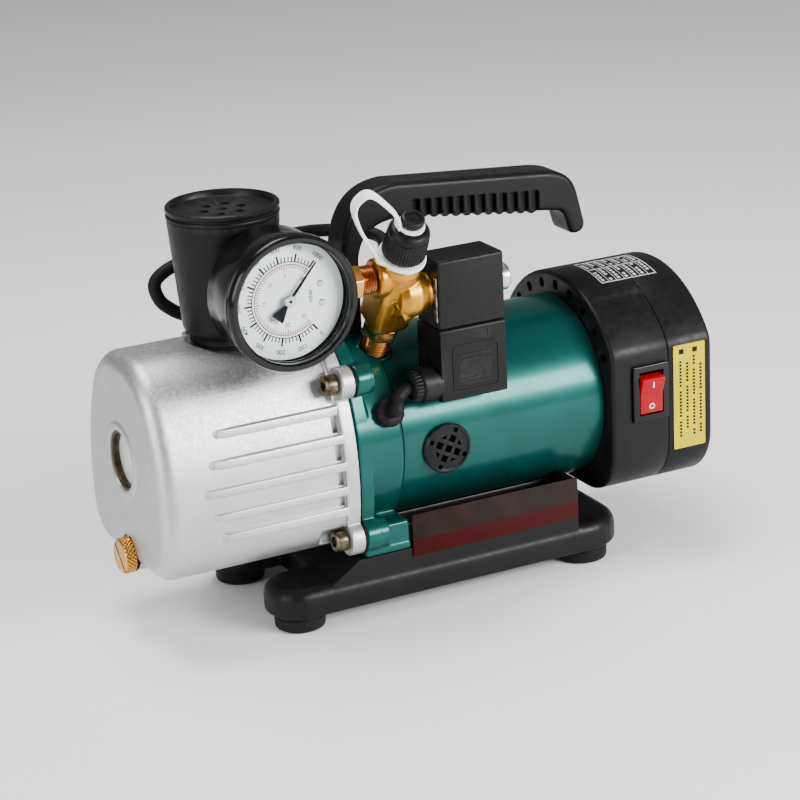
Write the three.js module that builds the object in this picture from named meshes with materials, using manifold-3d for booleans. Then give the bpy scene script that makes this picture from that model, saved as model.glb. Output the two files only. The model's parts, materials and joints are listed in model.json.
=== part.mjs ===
// Rotary vane vacuum pump with a vacuum gauge, a solenoid inlet valve and an exhaust filter.
// Millimetres. X runs along the shaft from the oil case (-X) to the switch cover (+X), -Y is the
// gauge side, +Z is up, and z = 0 is the floor under the rubber feet.
import * as THREE from 'three';
import { mergeVertices } from 'three/addons/utils/BufferGeometryUtils.js';
import Module from 'manifold-3d';

const wasm = await Module();
wasm.setup();

// ---------------------------------------------------------------- driving dimensions
const GAP = 0.3;                 // clearance between pieces that touch
const SHAFT_Z = 81;              // shaft height above the floor

const FOOT = { x: 78.4, y: 35.2, r: 12.5, height: 9 };
const BASE = { front: -94, rear: 98, half: 50.6, bottom: FOOT.height, top: 23.5 };
const PEDESTAL = { x0: -21.5, x1: 69, half: 49.4, top: 47.8 };
const TROUGH = { inner: 24, outer: 46.6, floor: 33 };    // lengthways hollows between cradle and side walls
const CASING_SEAT = { x0: -52, x1: -66, top: 32.5 };     // raised part of the base under the pump casing

const CASE = { front: -149, flange: -57, back: -50, bottom: 36.5, top: 139, wall: 4, edge: 9 };
const CASING = { front: -48.8, back: -24.6, r: 48.5, footHalf: 50, footTop: 47 };
const MOTOR = { front: -24.2, back: 86.8, r: 46, wall: 3 };
const COVER = { front: 87.4, seam: 120, back: 145.6, half: 53, bottom: 32.5, top: 138.3, crown: 61, wall: 2.6 };

const SIGHT = { z: 88, r: 14.5, rim: 18.5 };
const DRAIN = { z: 40.6, r: 8.7, head: 5.6, shank: 4.2, face: CASE.front + 2.2, boss: 8.2 };
const FILTER = { x: -89.4, seat: 21.5, sink: 2.5, rTop: 26.4, rLow: 22.5, rim: 27, base: 143.5, top: 203.5 };

const PUMP = { x0: -90, x1: -49.1, stator: 30, bore: 20, rotor: 17, offset: 2.7, shaft: 6 };
const VANE = { thick: 5 };

const INLET_TILT = THREE.MathUtils.degToRad(32);         // inlet axis leans towards the gauge side
const MANIFOLD = { x: -23.4, y: -45.6, z: 168 };         // where the inlet and gauge axes cross
const COIL = { x0: -7.9, x1: 26.9, y0: -57.1, y1: -34.5, z0: 140, z1: 173.6, axisZ: 157.5 };
const PLUG = { y1: -40.8, z0: 104.6, step: 116, deep: -33.5 };   // coil connector, deeper above the step
const GAUGE = { x: -83, front: -62.5, back: -31, r: 32, dial: 28 };
const HANDLE = { half: 10 };

// ---------------------------------------------------------------- materials
const finish = (color, roughness, metalness = 0) =>
  new THREE.MeshStandardMaterial({ color, roughness, metalness });
const ALUMINIUM = finish(0xc9cbcc, 0.45, 0.85);
const GREEN = finish(0x0b5f57, 0.25, 0.45);
const PLASTIC = finish(0x1c1d1f, 0.55);
const RUBBER = finish(0x17181a, 0.85);
const STEEL = finish(0x9a9da0, 0.35, 0.95);
const DARK_STEEL = finish(0x3a3128, 0.4, 0.9);
const BRASS = finish(0xc99a4a, 0.35, 0.9);
const COPPER = finish(0xb56a3a, 0.35, 0.9);
const GLASS = finish(0xdfe8ea, 0.05);
const WHITE = finish(0xeef2f3, 0.5);
const RED = finish(0xd0141c, 0.25);
const YELLOW = finish(0xf2cc2a, 0.4);
const LABEL = finish(0x4a4440, 0.4, 0.6);
const CARBON = finish(0x2a2a2c, 0.6);
const FELT = finish(0xd8d4c8, 0.95);

// ---------------------------------------------------------------- solids
const pump = new THREE.Group();

// A closed solid from any closed geometry; a profile drawn the other way round is turned outwards.
function solid(geometry) {
  const bare = geometry.index ? geometry.toNonIndexed() : geometry.clone();
  bare.deleteAttribute('normal');
  bare.deleteAttribute('uv');
  const merged = mergeVertices(bare, 1e-4);
  const vertProperties = new Float32Array(merged.attributes.position.array);
  const triVerts = new Uint32Array(merged.index.array);
  const body = new wasm.Manifold(new wasm.Mesh({ numProp: 3, vertProperties, triVerts }));
  if (body.volume() > 0) return body;
  return new wasm.Manifold(new wasm.Mesh({ numProp: 3, vertProperties, triVerts: triVerts.reverse() }));
}

function geometryOf(body) {
  const cut = body.getMesh();
  const geometry = new THREE.BufferGeometry();
  geometry.setAttribute('position', new THREE.BufferAttribute(new Float32Array(cut.vertProperties), 3));
  geometry.setIndex(new THREE.BufferAttribute(new Uint32Array(cut.triVerts), 1));
  geometry.computeVertexNormals();
  return geometry;
}

function add(name, shape, material, parent = pump) {
  const mesh = new THREE.Mesh(geometryOf(shape.isBufferGeometry ? solid(shape) : shape), material);
  mesh.name = name;
  parent.add(mesh);
  return mesh;
}

const union = (...bodies) => bodies.reduce((all, next) => all.add(next));
const range = (n) => Array.from({ length: n }, (_, i) => i);

function box(x0, x1, y0, y1, z0, z1) {
  return solid(new THREE.BoxGeometry(x1 - x0, y1 - y0, z1 - z0)
    .translate((x0 + x1) / 2, (y0 + y1) / 2, (z0 + z1) / 2));
}

// Round bars along one axis; the centre is given in the other two directions.
function barX(r, x0, x1, y = 0, z = SHAFT_Z, sides = 18) {
  return solid(new THREE.CylinderGeometry(r, r, x1 - x0, sides)
    .rotateZ(-Math.PI / 2).translate((x0 + x1) / 2, y, z));
}
function barY(r, y0, y1, x, z, sides = 16) {
  return solid(new THREE.CylinderGeometry(r, r, y1 - y0, sides).translate(x, (y0 + y1) / 2, z));
}
function barZ(r, z0, z1, x, y, sides = 16) {
  return solid(new THREE.CylinderGeometry(r, r, z1 - z0, sides)
    .rotateX(Math.PI / 2).translate(x, y, (z0 + z1) / 2));
}

// Turned shapes. The profile lists [radius, height] pairs from the axis or closes on itself.
const profile = (pairs) => pairs.map(([r, h]) => new THREE.Vector2(r, h));
const turned = (pairs, sides = 24) => new THREE.LatheGeometry(profile(pairs), sides);
const turnedX = (pairs, y = 0, z = SHAFT_Z, sides = 24) =>
  solid(turned(pairs, sides).rotateZ(-Math.PI / 2).translate(0, y, z));
const turnedZ = (pairs, x = 0, y = 0, sides = 24) =>
  solid(turned(pairs, sides).rotateX(Math.PI / 2).translate(x, y, 0));
const ring = (r, rIn, h0, h1) => [[r, h0], [r, h1], [rIn, h1], [rIn, h0], [r, h0]];

// Extrusions of a flat shape. alongX takes (y, z) shapes, alongY (x, z) and alongZ (x, y).
function extrude(shape, depth, options = {}) {
  return new THREE.ExtrudeGeometry(shape, { depth, bevelEnabled: false, curveSegments: 6, ...options });
}
const alongX = (shape, x0, x1, options) =>
  solid(extrude(shape, x1 - x0, options)
    .applyMatrix4(new THREE.Matrix4().set(0, 0, 1, x0, 1, 0, 0, 0, 0, 1, 0, 0, 0, 0, 0, 1)));
const alongY = (shape, y0, y1, options) =>
  solid(extrude(shape, y1 - y0, options)
    .applyMatrix4(new THREE.Matrix4().set(1, 0, 0, 0, 0, 0, -1, y1, 0, 1, 0, 0, 0, 0, 0, 1)));
const alongZ = (shape, z0, z1, options) => solid(extrude(shape, z1 - z0, options).translate(0, 0, z0));

function roundedRect(x0, x1, y0, y1, r) {
  const shape = new THREE.Shape();
  shape.moveTo(x0 + r, y0);
  shape.lineTo(x1 - r, y0);
  shape.absarc(x1 - r, y0 + r, r, -Math.PI / 2, 0);
  shape.lineTo(x1, y1 - r);
  shape.absarc(x1 - r, y1 - r, r, 0, Math.PI / 2);
  shape.lineTo(x0 + r, y1);
  shape.absarc(x0 + r, y1 - r, r, Math.PI / 2, Math.PI);
  shape.lineTo(x0, y0 + r);
  shape.absarc(x0 + r, y0 + r, r, Math.PI, 1.5 * Math.PI);
  return shape;
}

function polygon(points) {
  return new THREE.Shape(points.map(([a, b]) => new THREE.Vector2(a, b)));
}

// A round tube along a curve through the points, with its steps spread evenly.
function tube(points, r, steps, sides = 10) {
  const path = new THREE.CatmullRomCurve3(points.map((p) => new THREE.Vector3(...p)));
  const section = new THREE.Shape();
  section.absarc(0, 0, r, 0, 2 * Math.PI);
  return solid(new THREE.ExtrudeGeometry(section, { steps, extrudePath: path, curveSegments: sides / 2 }));
}

// ---------------------------------------------------------------- base and feet
function basePlate() {
  const { front, rear, half, bottom, top } = BASE;
  const round = 2.5;             // softened top edge
  const podInner = 17;           // half width of the cut between the two front pods
  const softTop = { bevelEnabled: true, bevelThickness: round, bevelSize: round, bevelOffset: -round,
    bevelSegments: 2, curveSegments: 6 };
  const pad = (x0, x1, y0, y1, r) => alongZ(roundedRect(x0, x1, y0, y1, r), bottom, top - round, softTop);
  const slab = union(
    pad(-64, rear, -half, half, 22),
    pad(front, 0, -half, -podInner, 15),
    pad(front, 0, podInner, half, 15),
  ).subtract(box(front - 9, rear + 9, -half - 9, half + 9, bottom - 9, bottom));
  const { x0, x1, half: side } = PEDESTAL;
  const pedestal = box(x0, x1, -side, side, top - 4, PEDESTAL.top);
  const troughs = [[-TROUGH.outer, -TROUGH.inner], [TROUGH.inner, TROUGH.outer]]
    .map(([y0, y1]) => box(x0 - 1, x1 + 1, y0, y1, TROUGH.floor, PEDESTAL.top + 1));
  const ramp = polygon([[x0 + 1, top - 4], [x0 + 1, CASING_SEAT.top], [CASING_SEAT.x0, CASING_SEAT.top],
    [CASING_SEAT.x1, top - 0.5], [CASING_SEAT.x1, top - 4]]);
  const seat = alongY(ramp, -side, side);
  const shellRoom = barX(MOTOR.r + GAP, PEDESTAL.x0 - 5, PEDESTAL.x1 + 5, 0, SHAFT_Z, 40);
  const casingRoom = barX(CASING.r + GAP, CASING_SEAT.x0 - 5, PEDESTAL.x0, 0, SHAFT_Z, 40);
  const raised = union(pedestal.subtract(union(...troughs)), seat).subtract(shellRoom).subtract(casingRoom);
  add('base_plate', union(slab, raised), PLASTIC);

  const sideLabel = box(PEDESTAL.x0 + 1, PEDESTAL.x1 - 1, -PEDESTAL.half - 1, -PEDESTAL.half - GAP, 28, 48.4);
  add('side_label', sideLabel, LABEL);
}

function feet() {
  const { r, height } = FOOT;
  const foot = [[0, 0], [r - 1.5, 0], [r, 1.5], [r, height - GAP], [0, height - GAP]];
  const corners = { front_near: [-1, -1], front_far: [-1, 1], rear_near: [1, -1], rear_far: [1, 1] };
  for (const [corner, [sx, sy]] of Object.entries(corners)) {
    add(`foot_${corner}`, turnedZ(foot, sx * FOOT.x, sy * FOOT.y, 20), RUBBER);
  }
}

// ---------------------------------------------------------------- oil case
// Half of the case's cross-section, from the middle of the top to the middle of the bottom.
const CASE_HALF = [[0, CASE.top], [17, 137], [32, 126], [41.5, 108], [47, 88], [48.3, 65], [45, 47],
  [35, 38], [18, CASE.bottom], [0, CASE.bottom]];

// The section moved inwards by a distance, or outwards by a negative one.
function caseOutline(inset) {
  const middle = new THREE.Vector2(0, (CASE.top + CASE.bottom) / 2);
  const right = CASE_HALF.map(([y, z]) => new THREE.Vector2(y, z));
  const left = right.slice(1, -1).map((p) => new THREE.Vector2(-p.x, p.y)).reverse();
  const moved = [...right, ...left].map((p) => {
    const out = p.clone().sub(middle);
    return middle.clone().add(out.multiplyScalar(1 - inset / out.length()));
  });
  const curve = new THREE.SplineCurve([...moved, moved[0]]);
  return new THREE.Shape(curve.getPoints(28).slice(0, -1));
}

const CASE_BOLTS = [[-43.5, 120], [-46, 43], [43.5, 120], [46, 43]];

// The section with a lobe round each bolt, standing proud of the case's wall by a distance.
function flangeOutline(x0, x1, proud) {
  const lobes = CASE_BOLTS.map(([y, z]) => barX(8, x0, x1, y, z, 16));
  return union(alongX(caseOutline(-proud), x0, x1), ...lobes);
}

function oilCase() {
  const { front, flange, back, wall, edge } = CASE;
  const bevel = { bevelEnabled: true, bevelThickness: edge, bevelSize: edge, bevelSegments: 2 };
  const shell = alongX(caseOutline(edge), front + edge, flange + 2, bevel)
    .subtract(box(flange + 1, flange + 30, -90, 90, 0, 190));
  const ribs = [[107, 62], [94, 66], [81, 70], [69, 66], [58.5, 62]].flatMap(([z, length]) => {
    const y = z > 90 ? 47 - (z - 88) * 0.27 : 47.6;        // the wall leans inwards above the widest part
    return [-1, 1].map((side) => solid(new THREE.CapsuleGeometry(2.6, length, 2, 8)
      .rotateZ(Math.PI / 2).translate(flange + 2 - length / 2, side * y, z)));
  });
  const sightRim = barX(SIGHT.rim, front - 0.8, front + 11, 0, SIGHT.z, 32);
  const drainBoss = barX(DRAIN.boss, DRAIN.face, front + 16, 0, DRAIN.z, 20);
  const hoseBoss = barZ(5.5, 108, HOSE_END.z - GAP, HOSE_END.x, HOSE_END.y, 16);
  const outer = union(shell, flangeOutline(flange, back, 2.5), ...ribs, sightRim, hoseBoss, drainBoss);

  const hollowBevel = { bevelEnabled: true, bevelThickness: 5, bevelSize: 5, bevelSegments: 2 };
  const hollow = alongX(caseOutline(wall + 5), front + wall + 5, back + 5, hollowBevel);
  const thick = union(
    barX(SIGHT.rim, front, front + 9, 0, SIGHT.z, 32),
    barX(DRAIN.boss, front, front + 16, 0, DRAIN.z, 20),
    barZ(FILTER.seat, 126, CASE.top, FILTER.x, 0, 24),
    barZ(6.5, 112, 128, HOSE_END.x, HOSE_END.y, 16),
  );
  const drills = union(
    barX(SIGHT.r, front - 3, front + 7, 0, SIGHT.z, 32),
    barX(SIGHT.r - 3, front - 3, front + 12, 0, SIGHT.z, 32),
    barX(DRAIN.shank + GAP, front - 3, front + 17, 0, DRAIN.z, 16),
    barX(DRAIN.r + 1, front - 3, DRAIN.face, 0, DRAIN.z, 20),
    barZ(12.3, 120, CASE.top + 3, FILTER.x, 0, 20),
    barZ(FILTER.seat, CASE.top - FILTER.sink, CASE.top + 3, FILTER.x, 0, 28),
    barZ(2, 100, 140, HOSE_END.x, HOSE_END.y, 10),
    ...CASE_BOLTS.map(([y, z]) => barX(3.3, flange - 5, back + 5, y, z, 12)),
    ...CASE_BOLTS.map(([y, z]) => barX(5.6, flange - 12, flange, y, z, 16)),
  );
  add('oil_case', outer.subtract(hollow.subtract(thick)).subtract(drills), ALUMINIUM);
}

function sightGlass() {
  const { front } = CASE;
  add('sight_glass', barX(SIGHT.r - GAP, front + 4.2, front + 6.7, 0, SIGHT.z, 32), GLASS);
  add('sight_glass_ring', turnedX(ring(SIGHT.r - GAP, 12, front + 2.2, front + 3.9), 0, SIGHT.z), PLASTIC);
}

function drainPlug() {
  const { r, z, face, shank } = DRAIN;
  const outer = face - 1.6 - DRAIN.head;
  const head = turnedX([[0, outer], [r - 0.8, outer], [r, outer + 0.8], [r, face - 1.6], [shank, face - 1.6],
    [shank, face + 12], [0, face + 12]], 0, z, 28);
  const slot = box(outer - 9, outer + 1.6, -0.7, 0.7, z - 11, z + 11);
  add('drain_plug', head.subtract(slot), BRASS);
  const seal = turnedX(ring(r - 0.4, shank + 1.2, face - 1.3, face - GAP), 0, z, 20);
  add('drain_seal', seal, RUBBER);
}

function caseBolts() {
  const socket = (x, y, z) => solid(new THREE.CylinderGeometry(2.9, 2.9, 3, 6)
    .rotateZ(Math.PI / 2).translate(x + 1.4, y, z));
  CASE_BOLTS.forEach(([y, z], i) => {
    const head = CASE.flange - 6.3;
    const bolt = turnedX([[0, head], [4.4, head], [5, head + 0.6], [5, head + 6], [3, head + 6],
      [3, CASING.front + 6], [0, CASING.front + 6]], y, z, 16);
    add(`case_bolt_${i + 1}`, bolt.subtract(socket(head, y, z)), DARK_STEEL);
  });
  const holes = union(...CASE_BOLTS.map(([y, z]) => barX(3.4, -60, -40, y, z, 12)));
  const sheet = flangeOutline(CASE.back + GAP, CASING.front - GAP, 0);
  add('case_gasket', sheet.subtract(alongX(caseOutline(8), -60, -40)).subtract(holes), RUBBER);
}

// ---------------------------------------------------------------- exhaust filter
function exhaustFilter() {
  const { x, rTop, rLow, rim, base, top } = FILTER;
  const seat = CASE.top - FILTER.sink;
  const wall = 2;
  const collar = 19.5;
  add('filter_seal', turnedZ(ring(18, 12.6, seat + GAP, seat + 1.6), x, 0), RUBBER);
  const cup = [
    [8, seat - 12], [11.8, seat - 12], [11.8, seat + 1.9], [collar, seat + 1.9], [collar, base - 1.5],
    [rLow - 2.5, base], [rLow, base + 4], [rTop, top - 9], [rTop, top - 6.2], [rTop - wall, top - 6.2],
    [rTop - wall, top - 9], [rLow - wall, base + 5], [collar - wall, base + 2], [8, base + 2], [8, seat - 12],
  ];
  add('filter_cup', turnedZ(cup, x, 0, 28), PLASTIC);
  add('filter_element', turnedZ(ring(19.8, 7, base + 5.4, top - 12), x, 0, 20), FELT);
  const spigot = rTop - wall - GAP;
  const lid = turnedZ([
    [0, top - 5], [0, top - 3], [rim - 4, top - 3], [rim - 3, top], [rim - 0.6, top], [rim, top - 0.8],
    [rim, top - 5.8], [spigot, top - 5.8], [spigot, top - 11], [spigot - 2, top - 11], [spigot - 2, top - 5],
    [0, top - 5],
  ], x, 0, 28);
  const holes = range(6).map((i) => [9 * Math.cos(i * Math.PI / 3), 9 * Math.sin(i * Math.PI / 3)]);
  const drills = [[0, 0], ...holes].map(([dx, dy]) => barZ(2.3, top - 9, top + 1, x + dx, dy, 8));
  add('filter_cap', lid.subtract(union(...drills)), PLASTIC);
}

// ---------------------------------------------------------------- vane pump
function vanePump() {
  const { x0, x1, stator, bore, rotor, offset, shaft } = PUMP;
  const boreZ = SHAFT_Z - offset;
  const flatZ = SHAFT_Z + 26;
  const body = barX(stator, x0, x1, 0, SHAFT_Z, 28)
    .subtract(barX(bore, x0 - 1, x1 + 1, 0, boreZ, 36))
    .subtract(box(x0 + 8, x1 - 8, -14, 14, flatZ, flatZ + 9))
    .subtract(barZ(2, SHAFT_Z, flatZ + 1, (x0 + x1) / 2, 7, 10));
  add('pump_stator', body, STEEL);
  add('pump_end_plate', turnedX([[0, x0 - 6.3], [stator, x0 - 6.3], [stator, x0 - GAP], [0, x0 - GAP]],
    0, SHAFT_Z, 28), STEEL);

  const slot = box(x0 - 1, x1 - 4, -rotor - 1, rotor + 1,
    SHAFT_Z - VANE.thick / 2 - GAP / 2, SHAFT_Z + VANE.thick / 2 + GAP / 2);
  const drum = turnedX([[0, x0 + GAP], [rotor, x0 + GAP], [rotor, x1 - GAP], [shaft, x1 - GAP],
    [shaft, x1 + 11], [0, x1 + 11]], 0, SHAFT_Z, 32);
  add('pump_rotor', drum.subtract(slot), STEEL);

  const pocket = (side) => [x0 + 12, x1 - 16]
    .map((x) => barY(1.9, Math.min(0, side * 11), Math.max(0, side * 11), x, SHAFT_Z, 8));
  for (const [name, side] of [['vane_near', -1], ['vane_far', 1]]) {
    const inner = side * 1.5;
    const outer = side * (rotor - 0.5);
    const vane = box(x0 + 0.6, x1 - 4.3, Math.min(inner, outer), Math.max(inner, outer),
      SHAFT_Z - VANE.thick / 2, SHAFT_Z + VANE.thick / 2);
    add(name, vane.subtract(union(...pocket(side))), CARBON);
  }

  const turns = 7;
  const spring = range(turns * 8 + 1).map((i) => {
    const angle = i * Math.PI / 4;
    return [x0 + 12 + 1.2 * Math.cos(angle), -8 + 16 * i / (turns * 8), SHAFT_Z + 1.2 * Math.sin(angle)];
  });
  add('vane_spring', tube(spring, 0.3, turns * 8, 3), STEEL);

  const reed = box(x0 + 11, x1 - 11, -9, 10, flatZ + GAP, flatZ + 0.9);
  add('exhaust_valve', reed, STEEL);
}

// ---------------------------------------------------------------- pump casing and motor
function inletFrame() {
  const frame = new THREE.Group();
  frame.position.set(MANIFOLD.x, MANIFOLD.y, MANIFOLD.z);
  frame.rotation.x = INLET_TILT;
  frame.updateMatrix();
  return frame;
}

const PORT_END = -48;            // where the inlet thread enters the casing, below the crossing

// A bar on the grommet's axis, between two distances from the shaft.
const GROMMET = { x: -31, angle: THREE.MathUtils.degToRad(66) };
const grommetBar = (r, d0, d1) => solid(new THREE.CylinderGeometry(r, r, d1 - d0, 16).rotateX(Math.PI / 2)
  .translate(0, 0, (d0 + d1) / 2).rotateX(GROMMET.angle).translate(GROMMET.x, 0, SHAFT_Z));

function pumpCasing() {
  const { front, back, r, footHalf, footTop } = CASING;
  const body = barX(r, front, back, 0, SHAFT_Z, 40);
  const flange = flangeOutline(front, front + 7, 0.5);
  const foot = box(front, back - 1, -footHalf, footHalf, CASING_SEAT.top + GAP, footTop);
  const boss = solid(new THREE.CylinderGeometry(11, 12, 26, 24).rotateX(Math.PI / 2)
    .translate(0, 0, PORT_END - 13).applyMatrix4(inletFrame().matrix));
  const handlePad = box(-46, -25, -HANDLE.half, HANDLE.half, 120, 131);
  const port = solid(new THREE.CylinderGeometry(6.8, 6.8, 24, 16).rotateX(Math.PI / 2)
    .translate(0, 0, PORT_END + 4).applyMatrix4(inletFrame().matrix));
  const room = union(
    grommetBar(5.3, 42, 58),
    barX(PUMP.shaft + 0.4, front - 1, back + 1),
    barX(13.3, -41, back + 1),
    barX(16.3, -33, back + 1),
    barX(MOTOR.r + GAP, back + 0.1, back + 40, 0, SHAFT_Z, 48),
    ...CASE_BOLTS.map(([y, z]) => barX(3.3, front - 1, front + 6.6, y, z, 12)),
    barX(r - 8, -40, back + 1, 0, SHAFT_Z, 20).subtract(barX(20, -41, back + 2)),
  );
  const handleRoom = box(-46, back + 9, -HANDLE.half - GAP, HANDLE.half + GAP, 131, 150);
  const outer = union(body, flange, foot, boss.subtract(handleRoom), handlePad);
  add('pump_casing', outer.subtract(room).subtract(port), GREEN);
  add('shaft_seal', turnedX(ring(13, PUMP.shaft + GAP, -40.5, -33.5), 0, SHAFT_Z, 24), RUBBER);
}

function motor() {
  const { front, back, r, wall } = MOTOR;
  const grilleRoom = barY(11.9, -60, -30, GRILLE.x, GRILLE.z, 24);
  add('motor_shell', turnedX(ring(r, r - wall, front, back), 0, SHAFT_Z, 48).subtract(grilleRoom), GREEN);

  const stack = [[r - wall - GAP, 8], [r - wall - GAP, 60], [38, 60], [38, 70], [28, 70], [28, 60],
    [24.6, 60], [24.6, 8], [28, 8], [28, -2], [38, -2], [38, 8], [r - wall - GAP, 8]];
  add('motor_stator', turnedX(stack, 0, SHAFT_Z, 20), COPPER);
  const shaft = PUMP.shaft;
  const core = [[0, -37.5], [shaft, -37.5], [shaft, 6], [24, 6], [24, 62], [shaft, 62], [shaft, 116], [0, 116]];
  add('motor_rotor', turnedX(core, 0, SHAFT_Z, 20), STEEL);
  add('bearing_front', turnedX(ring(16, shaft + GAP, -32.6, front), 0, SHAFT_Z, 24), STEEL);
  add('bearing_rear', turnedX(ring(14, shaft + GAP, 76, 85), 0, SHAFT_Z, 24), STEEL);

  const shield = turnedX([[r - wall - GAP, 74], [r - wall - GAP, back], [14 + GAP, back], [14 + GAP, 75.6],
    [10, 75.6], [10, 74], [r - wall - GAP, 74]], 0, SHAFT_Z, 28);
  const vents = range(6).map((i) => {
    const angle = i * Math.PI / 3;
    return barX(8, 70, back + 5, 28 * Math.cos(angle), SHAFT_Z + 28 * Math.sin(angle), 8);
  });
  add('motor_end_shield', shield.subtract(union(...vents)), ALUMINIUM);

  const hub = turnedX(ring(11, shaft + GAP, 94, 112), 0, SHAFT_Z, 16);
  const disc = turnedX(ring(30, 8, 94, 96), 0, SHAFT_Z, 24);
  const blades = range(8).map((i) => solid(new THREE.BoxGeometry(16, 26, 1.6)
    .translate(102.5, 22.5, 0).rotateX(i * Math.PI / 4).translate(0, 0, SHAFT_Z)));
  add('cooling_fan', union(hub, disc, ...blades), PLASTIC);
}

// Round black vent let into the near side of the motor shell.
const GRILLE = { x: -1.5, z: 78, turn: THREE.MathUtils.degToRad(28), pitch: 5.2, hole: 3.2 };

function sideVent() {
  const rim = barY(12.5, -48.4, -46.3, GRILLE.x, GRILLE.z, 32);
  const spigot = barY(11.4, -47, -43.4, GRILLE.x, GRILLE.z, 32);
  const square = (a, b, size) => solid(new THREE.BoxGeometry(size, 20, size).translate(a, -50, b)
    .rotateY(GRILLE.turn).translate(GRILLE.x, 0, GRILLE.z));
  const steps = [-GRILLE.pitch, 0, GRILLE.pitch];
  const grid = steps.flatMap((a) => steps.map((b) => square(a, b, GRILLE.hole)));
  const single = [[9.8, 0], [-9.8, 0], [0, 9.8], [0, -9.8]].map(([a, b]) => square(a, b, 2.2));
  const window = barY(7, -60, -40, GRILLE.x, GRILLE.z, 24);
  const holes = union(union(...grid).intersect(window), ...single);
  add('side_vent', union(rim, spigot).subtract(holes), PLASTIC);
}

// ---------------------------------------------------------------- rear cover and switch
const SWITCH = { x0: 98.5, x1: 119, z0: 72, z1: 101 };
const VENTS = { count: 9, step: THREE.MathUtils.degToRad(15.3), circle: 51.2, r: 2.5 };

function coverOutline(inset) {
  const { half, bottom, top } = COVER;
  const lower = 27 - inset;
  const y = half - inset;
  const crown = COVER.crown - inset;                      // radius of the arched top
  const start = THREE.MathUtils.degToRad(34);             // where the arch meets the corners
  const meet = { y: crown * Math.cos(start), z: top - COVER.crown + crown * Math.sin(start) };
  const shape = new THREE.Shape();
  shape.moveTo(-y + lower, bottom + inset);
  shape.lineTo(y - lower, bottom + inset);
  shape.absarc(y - lower, bottom + inset + lower, lower, -Math.PI / 2, 0);
  shape.lineTo(y, meet.z - 9);
  shape.quadraticCurveTo(y, meet.z - 3, meet.y, meet.z);
  shape.absarc(0, top - COVER.crown, crown, start, Math.PI - start);
  shape.quadraticCurveTo(-y, meet.z - 3, -y, meet.z - 9);
  shape.absarc(-y + lower, bottom + inset + lower, lower, Math.PI, 1.5 * Math.PI);
  return shape;
}

function rearCover() {
  const { front, seam, back, wall, half } = COVER;
  const soft = 2;
  const bevel = {
    bevelEnabled: true, bevelThickness: soft, bevelSize: soft, bevelSegments: 2, curveSegments: 6,
  };
  const cut = (x0, x1) => box(x0, x1, -90, 90, 0, 200);
  const coarse = { curveSegments: 5 };

  const slots = range(VENTS.count).map((i) => {
    const angle = Math.PI / 2 + (i - (VENTS.count - 1) / 2) * VENTS.step;
    const y = VENTS.circle * Math.cos(angle);
    const z = SHAFT_Z + VENTS.circle * Math.sin(angle);
    return barX(VENTS.r, front - 6, front + 6, y, z, 12);
  });
  const switchHole = box(SWITCH.x0 + 2, SWITCH.x1 - 2, -60, -40, SWITCH.z0 + 2, SWITCH.z1 - 2);
  const frontShell = alongX(coverOutline(soft), front + soft, seam, bevel).subtract(cut(seam - GAP, seam + 9))
    .subtract(alongX(coverOutline(wall), front + wall, seam + 1, coarse))
    .subtract(barX(43.4, front - 1, front + 9, 0, SHAFT_Z, 48))
    .subtract(switchHole).subtract(union(...slots));
  add('rear_cover_front', frontShell, PLASTIC);

  const holes = [-1, 1].flatMap((side) => range(6).map((i) => box(back - 9, back + 3,
    side * 22 - 14, side * 22 + 14, 58 + i * 8, 61.5 + i * 8)));
  const backShell = alongX(coverOutline(soft), seam, back - soft, bevel).subtract(cut(seam - 9, seam))
    .subtract(alongX(coverOutline(wall), seam - 1, back - wall, coarse))
    .subtract(union(...holes));
  add('rear_cover_back', backShell, PLASTIC);

  const frame = box(SWITCH.x0, SWITCH.x1, -half - 2, -half - GAP, SWITCH.z0, SWITCH.z1);
  const body = box(SWITCH.x0 + 2.3, SWITCH.x1 - 2.3, -half - 1, -38, SWITCH.z0 + 2.3, SWITCH.z1 - 2.3);
  const well = box(SWITCH.x0 + 3.3, SWITCH.x1 - 3.3, -half - 6, -42, SWITCH.z0 + 3.3, SWITCH.z1 - 3.3);
  add('switch_body', union(frame, body).subtract(well), PLASTIC);
  rocker();

  const yellow = box(seam + 2.6, back - 2.6, -half - 0.7, -half - GAP, 53.4, 107.2);
  add('yellow_label', yellow, YELLOW);
}

// The rocker turns about an X axis just inside the switch frame; at rest its top end stands out.
const ROCKER = { y: -COVER.half + 5, z: (SWITCH.z0 + SWITCH.z1) / 2, tilt: 0.16 };

function rocker() {
  const width = SWITCH.x1 - SWITCH.x0 - 7.4;
  const halfHeight = (SWITCH.z1 - SWITCH.z0) / 2 - 5.2;
  const shape = new THREE.Shape();
  shape.moveTo(-8.5, -halfHeight);
  shape.lineTo(-7.2, 0);
  shape.lineTo(-8.5, halfHeight);
  shape.lineTo(-2, halfHeight);
  shape.lineTo(3, 3);
  shape.lineTo(3, -3);
  shape.lineTo(-2, -halfHeight);
  const key = alongX(shape, -width / 2, width / 2);
  const mesh = add('switch_rocker', key, RED);
  mesh.position.set((SWITCH.x0 + SWITCH.x1) / 2, ROCKER.y, ROCKER.z);
  mesh.rotation.x = ROCKER.tilt;
}

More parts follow.
